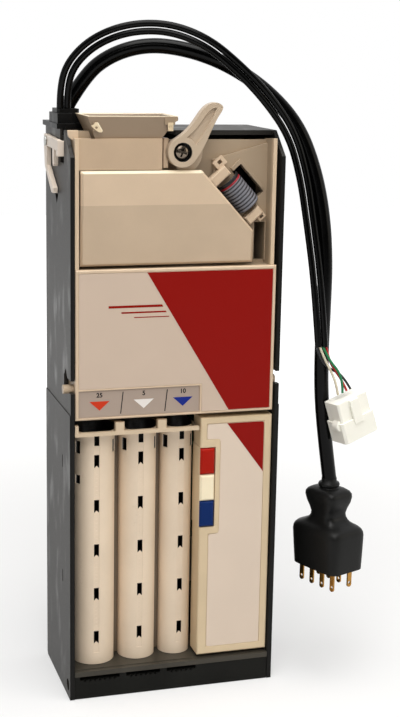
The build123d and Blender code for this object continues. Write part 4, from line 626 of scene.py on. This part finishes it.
# ---- Panel print ----
# The panel's sheet is screen-printed in red: a plain block whose left edge leans, and three level bars,
# each a top edge in Z, a height and a left end, that stop short of the block.
SHEET_FACE = -37.9
BLOCK_TOP, BLOCK_FOOT, BLOCK_RIGHT = 275.5, 186.4, 61.2
LEAN_TOP, LEAN_FOOT = -20.0, 34.0
BAR_GAP, BAR_END_SLOPE = 2.5, 0.6
PANEL_BARS = ((255.5, 1.5, -44.0), (251.5, 1.0, -36.0), (248.2, 0.6, -28.0))
red_block = [(LEAN_TOP, BLOCK_TOP), (BLOCK_RIGHT, BLOCK_TOP), (BLOCK_RIGHT, BLOCK_FOOT),
             (LEAN_FOOT, BLOCK_FOOT)]
printed("panel_block_print", red_block, SHEET_FACE, red_print, "print_sheet", "acceptor")
for z, height, left in PANEL_BARS:
    right = (BLOCK_TOP - z) * (LEAN_FOOT - LEAN_TOP) / (BLOCK_TOP - BLOCK_FOOT) + LEAN_TOP - BAR_GAP
    bar = [(left, z), (right, z), (right + height * BAR_END_SLOPE, z - height), (left, z - height)]
    printed(f"panel_bar_{int(z)}", bar, SHEET_FACE, red_print, "print_sheet", "acceptor")

# ---- Coin label print ----
# The grey label is printed for the coins of the three tubes: a number and a coloured arrow over each
# tube, with a thin leaning line between each two.
LABEL_FACE = -37.2
ARROW_TOP, ARROW_TIP, ARROW_HALF = 196.1, 190.3, 6.4
NUMBER_FOOT, NUMBER_SIZE, NUMBER_WEIGHT = 198.7, 3.9, 0.12
DIVIDERS = {"left": -35.9, "right": -7.6}
DIVIDER_FOOT, DIVIDER_TOP, DIVIDER_HALF, DIVIDER_LEAN = 187.6, 201.5, 0.3, 1.5
COINS_ON_LABEL = {"25": (-49.3, "red"), "5": (-21.2, "white"), "10": (4.0, "blue")}
ink_black = printed_sheet("ink_black", srgb(24, 22, 24))
ink_colours = {"red": srgb(206, 60, 32), "white": srgb(238, 232, 226), "blue": srgb(24, 42, 132)}
inks = {name: printed_sheet(f"ink_{name}", colour) for name, colour in ink_colours.items()}
for number, (x, ink) in COINS_ON_LABEL.items():
    arrow = [(x - ARROW_HALF, ARROW_TOP), (x + ARROW_HALF, ARROW_TOP), (x, ARROW_TIP)]
    printed(f"label_arrow_{number}", arrow, LABEL_FACE, inks[ink], "label_grey", "acceptor")
    text = bpy.data.curves.new(f"label_number_{number}", "FONT")
    text.body = number
    text.size = NUMBER_SIZE * MM
    text.offset = NUMBER_WEIGHT * MM
    text.align_x = "CENTER"
    text.extrude = PRINT_FILM / 2 * MM
    digits = plain_mesh(linked(f"label_number_{number}", text))
    digits.data.transform(Matrix.Translation((x * MM, (LABEL_FACE - PRINT_FILM / 2) * MM, NUMBER_FOOT * MM))
                          @ Matrix.Rotation(pi / 2, 4, "X"))
    settle(digits, ink_black, "label_grey", body="acceptor")
for side, foot in DIVIDERS.items():
    top = foot + DIVIDER_LEAN
    bar = [(foot - DIVIDER_HALF, DIVIDER_FOOT), (foot + DIVIDER_HALF, DIVIDER_FOOT),
           (top + DIVIDER_HALF, DIVIDER_TOP), (top - DIVIDER_HALF, DIVIDER_TOP)]
    printed(f"label_divider_{side}", bar, LABEL_FACE, ink_black, "label_grey", "acceptor")

# ---- Coin mouth ----
# The mouth is a thin beige moulding: a flared funnel, its throat, and a plate in front. Its beige is
# painted darker than the other mouldings as painted shade, the flare darker still, and the top of the
# rim is painted cream as a painted highlight. The plate ends in a lip at the right, painted darker
# again as painted shade, and carries a square tab and a slanted ear, each with an eye. The ear's upper
# edge is painted cream as a painted highlight. A slim bar stands beside it.
FLARE_FOOT = 356.1
MOUTH_TOP = 369.3
RIM_HEIGHT = 0.45
TAB_LEFT, TAB_FRONT, TAB_FOOT, TAB_TOP = -20.0, -37.35, 360.0, 366.5
LIP_FRONT, LIP_BACK = -37.75, -37.0
TAB_EYE_FRONT, TAB_EYE_BACK = -37.99, -37.55
EAR_FRONT, EAR_BACK = -38.0, -37.3
EAR_SLOPE, EAR_EDGE = 1.72, 277.0
# CREAM is a painted highlight on top edges.
CREAM, TAB_CREAM = srgb(250, 234, 204), srgb(226, 206, 172)


def on_tab(x, y, z):
    """1 on the square tab."""
    return (x > TAB_LEFT) * (y < TAB_FRONT) * (z < TAB_TOP) * (z > TAB_FOOT)


# The whole mouth is painted darker than the other beige mouldings as painted shade, the flare darker still,
# with a painted highlight along the top of the rim.
mouth_plastic = moulded("mouth_plastic", srgb(192, 167, 139), 0.42, 0.05, 0.00002, 1200, 0.1, zones=[
    (lambda x, y, z: (z > FLARE_FOOT) * 0.5, UMBER), (lambda x, y, z: z > MOUTH_TOP - RIM_HEIGHT, CREAM),
    (on_tab, TAB_CREAM)])
rounded("inlet_funnel", mouth_plastic, "beige", 0.25)
rounded("inlet_bar", beige_plastic, "beige", 0.2)
lip_outline = [(-10.0, 369.2), (-1.9, 369.2), (-1.7, 366.6), (-3.5, 366.0), (-3.7, 364.2), (-10.0, 364.2)]
lip_rim = soft_corners(lip_outline, [0, 1.2, 0.9, 0.6, 0.5, 0])
lip = plate("mouth_lip", [lip_rim], LIP_FRONT, LIP_BACK, 0.1)
# The lip is painted darker again, as painted shade.
lip_plastic = moulded("lip_plastic", srgb(156, 135, 110), 0.42, 0.05, 0.00002, 1200, 0.1)
settle(lip, lip_plastic, "beige", body="acceptor")


def eye(x, z, half_x, half_z):
    """An oval hole's outline about a place."""
    turns = [pi * step / 8 for step in range(16)]
    return [(x + half_x * cos(turn), z + half_z * sin(turn)) for turn in turns]


tab_outline = [(-8.0, 360.6), (-4.8, 360.6), (-4.8, 365.6), (-8.0, 365.6)]
tab_rims = [tab_outline, eye(-6.3, 362.9, 0.75, 0.75)]
tab = plate("mouth_tab_eye", tab_rims, TAB_EYE_FRONT, TAB_EYE_BACK, 0.08)
settle(tab, cover_plastic, "beige", body="acceptor")
# The ear's upper edge is painted cream, as a painted highlight.
tab_plastic = moulded("tab_plastic", TAB_CREAM, 0.42, 0.05, 0.00002, 1200, 0.1, zones=[
    (lambda x, y, z: (x * EAR_SLOPE + z > EAR_EDGE) * 0.9, CREAM)])
ear_outline = [(-55.0, 363.8), (-53.3, 364.4), (-52.8, 365.6), (-50.8, 365.6), (-47.9, 360.7),
               (-48.6, 359.7), (-50.6, 359.9), (-53.6, 362.1)]
ear_rim = soft_corners(ear_outline, [0.4, 0.3, 0.4, 0.5, 0.5, 0.4, 0.5, 0.4])
ear = plate("mouth_ear", [ear_rim, eye(-51.9, 362.5, 0.9, 0.7)], EAR_FRONT, EAR_BACK, 0.12)
settle(ear, tab_plastic, "beige", body="acceptor")

# ---- Gate ----
# The gate is a large beige moulding that turns on a steel pin at its foot and opens the coin run. Its
# face is upright above a bend and leans inwards below it. Below the bend it is painted a little darker
# as painted shade, and a band along its top is painted cream as a painted highlight.
GATE_BEND_Z = 316.4
GATE_LEAN = 0.066
GATE_TOP = 336.9
GATE_FACE = -34.9
GATE_HIGHLIGHT_BAND = 1.7
gate = solid_copy("gate_cover")
shape = bmesh.new()
shape.from_mesh(gate.data)
bmesh.ops.bisect_plane(shape, geom=[*shape.verts, *shape.edges, *shape.faces],
                       plane_co=(0, 0, GATE_BEND_Z * MM), plane_no=(0, 0, 1))
for corner in shape.verts:
    if corner.co.y < GATE_FACE * MM and corner.co.z < GATE_BEND_Z * MM:
        corner.co.y += (GATE_BEND_Z * MM - corner.co.z) * GATE_LEAN
shape.to_mesh(gate.data)
shape.free()
# Painted shade below the bend and a painted highlight along the top edge.
gate_plastic = moulded("gate_plastic", srgb(214, 190, 162), 0.4, 0.04, 0.00002, 1200, 0.1, zones=[
    (lambda x, y, z: (z < GATE_BEND_Z) * 0.2, UMBER),
    (lambda x, y, z: z > GATE_TOP - GATE_HIGHLIGHT_BAND, CREAM)])
settle(eased(gate, 0.4, 20), gate_plastic, "beige", "gate_cover")
rounded("gate_hinge_pin", plated_steel, "steel", 0.15)

# ---- Coin return lever ----
# The lever is a beige moulding on a shouldered steel screw with a domed head, whose cross recess is
# punched. The screw sits in a deep recess in the lever's boss, painted nearly black as painted shade,
# and a coil spring returns it.
PIVOT = (1.3, 347.9)
BOSS_RECESS = 5.78
SCREW_DOME = [(0.6, -37.88), (1.8, -37.78), (3.0, -37.5), (3.9, -37.1), (4.45, -36.6), (4.7, -36.0),
              (4.7, -35.2), (2.4, -35.2), (2.4, -23.2)]
CROSS_ARMS = ((2.9, 0.55), (0.55, 2.9))
CROSS_FRONT, CROSS_FLOOR, CROSS_TURN = -39.0, -36.2, 0.35
# The recess round the screw is painted nearly black, as painted shade.
lever_plastic = moulded("lever_plastic", srgb(192, 172, 148), 0.38, 0.04, 0.00002, zones=[
    (lambda x, y, z: round_axis(x, z, *PIVOT, BOSS_RECESS), srgb(14, 11, 9))])
rounded("coin_return_lever", lever_plastic, "lever_beige", 0.4)
screw_steel = metal("screw_steel", srgb(120, 108, 96), 0.22)


def turned(name, axis, profile, sectors=48):
    """A solid of revolution about a line along Y through (x, z), from (radius, y) pairs front to back."""
    shape = bmesh.new()
    rings = [[shape.verts.new(((axis[0] + r * cos(2 * pi * i / sectors)) * MM, y * MM,
                               (axis[1] + r * sin(2 * pi * i / sectors)) * MM)) for i in range(sectors)]
             for r, y in profile]
    for ring, following in zip(rings, rings[1:]):
        for i in range(sectors):
            shape.faces.new((ring[i], following[i], following[(i + 1) % sectors], ring[(i + 1) % sectors]))
    shape.faces.new(rings[0])
    shape.faces.new(rings[-1])
    bmesh.ops.recalc_face_normals(shape, faces=shape.faces)
    return formed(name, shape)


def cut(piece, tool):
    """A piece with the form of a tool taken out of it."""
    taken = piece.modifiers.new("cut", "BOOLEAN")
    taken.operation = "DIFFERENCE"
    taken.object = tool
    bpy.context.view_layer.update()
    done = plain_mesh(piece)
    bpy.data.objects.remove(tool)
    return done


screw = turned("lever_screw_domed", PIVOT, SCREW_DOME)
for half_x, half_z in CROSS_ARMS:
    arm = block("cross_arm", (-half_x, CROSS_FRONT, -half_z), (half_x, CROSS_FLOOR, half_z))
    at_pivot = Matrix.Translation((PIVOT[0] * MM, 0, PIVOT[1] * MM))
    arm.data.transform(at_pivot @ Matrix.Rotation(CROSS_TURN, 4, "Y"))
    screw = cut(screw, arm)
settle(eased(screw, 0.08), screw_steel, "steel", "lever_screw")
rounded("lever_spring", plated_steel, "steel", 0.05)

# ---- Flat cable and clamps ----
# Ten conductors in one grey PVC band arch forwards between two beige clamps. The band is one mesh with
# a rib over each conductor, swept round the arch. The valleys between the ribs are painted dark as
# painted shade. The first conductor is painted black, as painted shadow for the shaded gap beside the
# upper clamp, and a red stripe runs beside it.
BAND_ORIGIN, ALONG, ACROSS = (33.2, 316.0), (0.675, -0.738), (0.738, 0.675)
CONDUCTORS = 10
CONDUCTOR_PITCH = 2.2
RIBBON_MIDDLE = 9.4
ARCH_RADIUS = 7.35
ARCH_Y = -27.0
RIBBON_HALF_THICK = 0.65
STEPS_PER_RIB, ARCH_STEPS = 8, 24
TAIL_FRONT, TAIL_BACK = 0.7, 10
path = [(RIBBON_MIDDLE - ARCH_RADIUS, ARCH_Y + TAIL_FRONT, -1, 0)]
for step in range(ARCH_STEPS + 1):
    bend = pi * step / ARCH_STEPS
    path.append((RIBBON_MIDDLE - ARCH_RADIUS * cos(bend), ARCH_Y - ARCH_RADIUS * sin(bend),
                 -cos(bend), -sin(bend)))
path.append((RIBBON_MIDDLE + ARCH_RADIUS, ARCH_Y + TAIL_BACK, 1, 0))
profile = []
for step in range(CONDUCTORS * STEPS_PER_RIB + 1):
    across = step / STEPS_PER_RIB
    swell = abs(sin(pi * across)) ** 0.6
    profile.append((CONDUCTOR_PITCH * (across - CONDUCTORS / 2), RIBBON_HALF_THICK * (0.3 + 0.68 * swell)))
ring = profile + [(along, -lift) for along, lift in reversed(profile)]
points = []
for across, y, out_across, out_y in path:
    for along, lift in ring:
        over = across + out_across * lift
        x, z = (BAND_ORIGIN[i] + along * ALONG[i] + over * ACROSS[i] for i in (0, 1))
        points.append((x * MM, (y + out_y * lift) * MM, z * MM))
count = len(ring)
faces = [(r * count + i, r * count + (i + 1) % count,
          (r + 1) * count + (i + 1) % count, (r + 1) * count + i)
         for r in range(len(path) - 1) for i in range(count)]
faces += [tuple(range(count)), tuple(reversed(range((len(path) - 1) * count, len(path) * count)))]
ribbon_mesh = bpy.data.meshes.new("ribbon_cable_ribs")
ribbon_mesh.from_pydata(points, [], faces)
shape = bmesh.new()
shape.from_mesh(ribbon_mesh)
bmesh.ops.recalc_face_normals(shape, faces=shape.faces)
shape.to_mesh(ribbon_mesh)
shape.free()
for face in ribbon_mesh.polygons:
    face.use_smooth = len(face.vertices) == 4
ribbon = linked("ribbon_cable_ribs", ribbon_mesh)
MIDDLE_ALONG = BAND_ORIGIN[0] * ALONG[0] + BAND_ORIGIN[1] * ALONG[1]


def conductor(x, y, z):
    """The place across the ribbon, counted in conductors from its upper left edge."""
    return (x * ALONG[0] + z * ALONG[1] - MIDDLE_ALONG) * (1 / CONDUCTOR_PITCH) + CONDUCTORS / 2


# Painted shade in the valleys between the ribs, and painted shadow on the first conductor.
ribbon_pvc = moulded("ribbon_pvc", srgb(120, 120, 127), 0.34, Specular_IOR_Level=0.3, zones=[
    (lambda x, y, z: (conductor(x, y, z) * pi).math("SINE").math("ABSOLUTE") < 0.62, srgb(52, 52, 56)),
    (lambda x, y, z: conductor(x, y, z) < 1.5, srgb(150, 26, 38)),
    (lambda x, y, z: conductor(x, y, z) < 1.0, srgb(18, 16, 16))])
settle(ribbon, ribbon_pvc, "ribbon_grey", "ribbon_cable")
for node in ("ribbon_clamp_upper", "ribbon_clamp_lower"):
    rounded(node, beige_plastic, "beige", 0.3)

# ---- Behind the acceptor ----
# Behind the gate a dark moulded runway carries the coin past three ferrite coils. A solenoid's plunger
# lifts a nylon flap on a steel pin, which sends the coin to its tube.
runway_plastic = moulded("runway_plastic", srgb(60, 60, 58), 0.45)
ferrite = moulded("ferrite", srgb(48, 46, 46), 0.55)
rounded("coin_runway", runway_plastic, "runway_plastic", 0.25)
rounded("sensor_coils", ferrite, "coil_ferrite", 0.3)
rounded("accept_flap", beige_plastic, "nylon", 0.2)
rounded("accept_flap_pin", plated_steel, "steel", 0.1)
rounded("accept_solenoid", coil_can, "coil_steel", 0.3)
rounded("accept_plunger", plated_steel, "core_steel", 0.15)

# ---- Latch ----
# The latch is one moulding of pale acetal with a hook in front and a leaf-spring leg. It turns on a
# steel pin in the left wall and holds the acceptor upright.
latch_plastic = moulded("latch_plastic", srgb(244, 228, 211), 0.36, 0.04, 0.00002)
rounded("latch_clip", latch_plastic, "beige", 0.35)
rounded("latch_pin", plated_steel, "steel", 0.2)

# ---- Boot ----
# The boot is one black rubber moulding in steps, seated on the case's top at the left. The three
# cables leave it through its collar.
boot_rubber = moulded("boot_rubber", srgb(12, 12, 11), 0.42, 0.2, 0.00006, 900, Specular_IOR_Level=0.2)
rounded("cable_gland", boot_rubber, "rubber", 0.6)

# ---- Logic board ----
# A green board stands in the case's back with its transformer, sleeved capacitors and a white nylon
# connector. Plated screws hold it to the case, and the payout deck to the base.
sleeve = moulded("can_sleeve", srgb(20, 30, 60), 0.3)
rounded("logic_board", board_green, "circuit_board", 0.1)
rounded("board_transformer", coil_can, "core_steel", 0.3)
rounded("board_capacitors", sleeve, "can_sleeve", 0.3)
white_nylon = moulded("white_nylon", srgb(255, 253, 242), 0.36, 0.01, 0.00002, 900)
rounded("board_connector", white_nylon, "nylon", 0.15)
rounded("assembly_screws", plated_steel, "steel", 0.15)

# ---- Plug ----
# The plug is moulded onto the mains cable in black rubber: a square head, a waist for the fingers, a
# swollen neck and a ringed collar. Each section is a height over the head's foot, half its width and
# depth, and how square it is. Eight brass blades stand in the head.
PLUG_PLACE = (104.0, -39.0, 76.5)
PLUG_YAW = radians(22)
PLUG_SHIFT = 1.5
PLUG_SHOULDER = 54.0
PLUG_SECTIONS = [
    (0, 14.4, 19.9, 7), (12, 15.0, 20.7, 6.5), (23.5, 15.5, 21.4, 6), (25.8, 15.4, 21.3, 5.5),
    (27.5, 14.8, 20.7, 5), (28.8, 13.6, 19.6, 4.5), (29.8, 12.0, 17.0, 4.2), (31.0, 10.6, 14.3, 4),
    (32.6, 9.7, 12.0, 4), (34.6, 9.1, 10.4, 4), (37.0, 9.0, 9.9, 4), (40.5, 9.5, 10.9, 4.5),
    (44.5, 10.4, 12.8, 5), (48.3, 11.05, 13.8, 5), (50.6, 10.9, 13.6, 5), (52.2, 10.1, 12.6, 4.5),
    (53.3, 8.6, 10.8, 4), (54.0, 6.4, 7.6, 3), (54.2, 5.6, 5.6, 2), (55.0, 6.7, 6.7, 2),
    (56.2, 7.1, 7.1, 2), (57.3, 6.6, 6.6, 2), (57.8, 5.1, 5.1, 2), (60.4, 4.9, 4.9, 2),
]
PLUG_SECTORS = 72


def bent(value, power):
    """A sine or cosine raised to a power with its sign kept."""
    return abs(value) ** power * (1 if value > 0 else -1)


shape = bmesh.new()
rings = []
for height, half_x, half_y, squareness in PLUG_SECTIONS:
    shift = PLUG_SHIFT * max(0.0, 1 - height / PLUG_SHOULDER)
    ring = []
    for i in range(PLUG_SECTORS):
        turn = 2 * pi * (i + 0.5) / PLUG_SECTORS
        across = half_x * bent(cos(turn), 2 / squareness) + shift
        along = half_y * bent(sin(turn), 2 / squareness)
        ring.append(shape.verts.new((across * MM, along * MM, height * MM)))
    rings.append(ring)
for ring, following in zip(rings, rings[1:]):
    for i in range(PLUG_SECTORS):
        j = (i + 1) % PLUG_SECTORS
        shape.faces.new((ring[i], ring[j], following[j], following[i])).smooth = True
foot = shape.faces.new(list(reversed(rings[0])))
shape.faces.new(rings[-1])
for edge in foot.edges:
    edge.smooth = False
plug = formed("plug_body_moulded", shape)
plug.data.transform(Matrix.Translation([c * MM for c in PLUG_PLACE]) @ Matrix.Rotation(PLUG_YAW, 4, "Z"))
plug_body = settle(plug, boot_rubber, "rubber", "plug_body")
brass = metal("brass", srgb(178, 132, 66), 0.28)
plug_blades = rounded("plug_blades", brass, "brass", 0.15)

# ---- White connector ----
# The data cables' leads end in brass contacts in a white nylon housing. A round bump swells from the
# housing's left side.
BUMP_AXIS = (-11.6, -1.5)
BUMP_PROFILE = [(3.1, -5.4), (3.6, -4.9), (3.6, 0.4), (3.1, 0.9)]
CONNECTOR_PLACE = (112.6, -49.0, 180.5)
CONNECTOR_LEAN, CONNECTOR_YAW = radians(-17), radians(14)
connector_housing = rounded("connector_housing", white_nylon, "nylon", 0.35)
connector_contacts = rounded("connector_contacts", brass, "brass", 0.1)
connector_bump = turned("connector_bump", BUMP_AXIS, BUMP_PROFILE)
connector_turn = Matrix.Rotation(CONNECTOR_LEAN, 4, "Y") @ Matrix.Rotation(CONNECTOR_YAW, 4, "Z")
connector_bump.data.transform(Matrix.Translation([c * MM for c in CONNECTOR_PLACE]) @ connector_turn)
settle(eased(connector_bump, 0.2), white_nylon, "nylon", body="root")

# ---- Cord facts ----
# The mains cable ends in the plug, the data cables are cut bare, and the leads end in the connector.
# All are stiff and hang. Each one's exit, length and diameter are worked out here in metres and left
# unused.
for node, (route, diameter, length, *_) in CORDS.items():
    [c * MM for c in route[0]]
    length * MM
    diameter * MM

# ---- Studio ----
# A pale floor and a white surround, which is dim in front of the object, where the room is dark. The
# floor's glow is weaker near the object, as painted shade round it, and grows further out until the
# floor reads white. One large soft lamp stands in front and above, one hangs overhead and a weak warm
# one is at the right.
FLOOR_HALF, FLOOR_Z = 2.5, -0.0003
FLOOR_GLOW, FAR_FLOOR_GLOW = 0.37, 0.52
SURROUND_LIGHT = 0.3
LAMPS = {
    "key": ((-0.35, -1.35, 1.6), 1.1, 16.0, (1.0, 0.985, 0.97)),
    "top": ((-0.05, -0.3, 1.9), 1.2, 25.0, (1.0, 0.99, 0.97)),
    "right": ((1.3, -0.9, 0.7), 0.8, 4.0, (1.0, 0.93, 0.8)),
}
floor_mesh = bpy.data.meshes.new("floor")
corners = [(FLOOR_HALF * x, FLOOR_HALF * y, FLOOR_Z) for x, y in ((-1, -1), (1, -1), (1, 1), (-1, 1))]
floor_mesh.from_pydata(corners, [], [(0, 1, 2, 3)])
floor = linked("floor", floor_mesh)
paper = Finish("paper", (0.55, 0.55, 0.55), 0.95, Specular_IOR_Level=0.0)
rays = paper.node("ShaderNodeLightPath", output="Is Camera Ray")
shown = paper.node("ShaderNodeMath", {"operation": "MAXIMUM"}, {0: rays, 1: rays.other("Is Glossy Ray")})
from_middle = paper.node("ShaderNodeVectorMath", {"operation": "LENGTH"}, {0: paper.place}, "Value")
away = from_middle.step(0.25, 1.1)
paper.drive("Base Color", paper.blend(paper.noise(900, 2), (0.54, 0.54, 0.54), (0.56, 0.56, 0.56)))
# Weaker glow near the middle paints shade round the object.
glow = shown * (away * FAR_FLOOR_GLOW + FLOOR_GLOW)
lift = paper.node("ShaderNodeEmission", {}, {"Color": (1, 1, 1, 1), "Strength": glow})
both = paper.node("ShaderNodeAddShader", {}, {0: Value(paper, paper.shader.outputs[0]), 1: lift})
paper.tree.links.new(both.socket, paper.tree.nodes["Material Output"].inputs["Surface"])
floor_mesh.materials.append(paper.material)

surround = bpy.data.worlds.new("surround")
scene.world = surround
surround.use_nodes = True
sky = Graph(surround.node_tree)
rays = sky.node("ShaderNodeLightPath", output="Is Camera Ray")
toward = sky.node("ShaderNodeTexCoord", output="Generated")
depth = sky.node("ShaderNodeSeparateXYZ", {}, {0: toward}, "Y")
behind = depth.step(-0.75, -0.1)
glossy, through = rays.other("Is Glossy Ray"), rays.other("Is Transmission Ray")
seen = rays.math("MAXIMUM", rays, glossy.math("MAXIMUM", glossy * behind, through))
lit = seen.math("MAXIMUM", seen, (1 - glossy) * SURROUND_LIGHT)
background = sky.tree.nodes["Background"]
background.inputs["Color"].default_value = (1, 1, 1, 1)
sky.tree.links.new(lit.socket, background.inputs["Strength"])

AIM = Vector((0, 0, 0.2))
for name, (place, size, power, colour) in LAMPS.items():
    light = bpy.data.lights.new(name, "AREA")
    light.energy = power
    light.size = size
    light.color = colour
    aim = (AIM - Vector(place)).to_track_quat("-Z", "Y").to_matrix()
    linked(name, light).matrix_world = Matrix.Translation(place) @ aim.to_4x4()
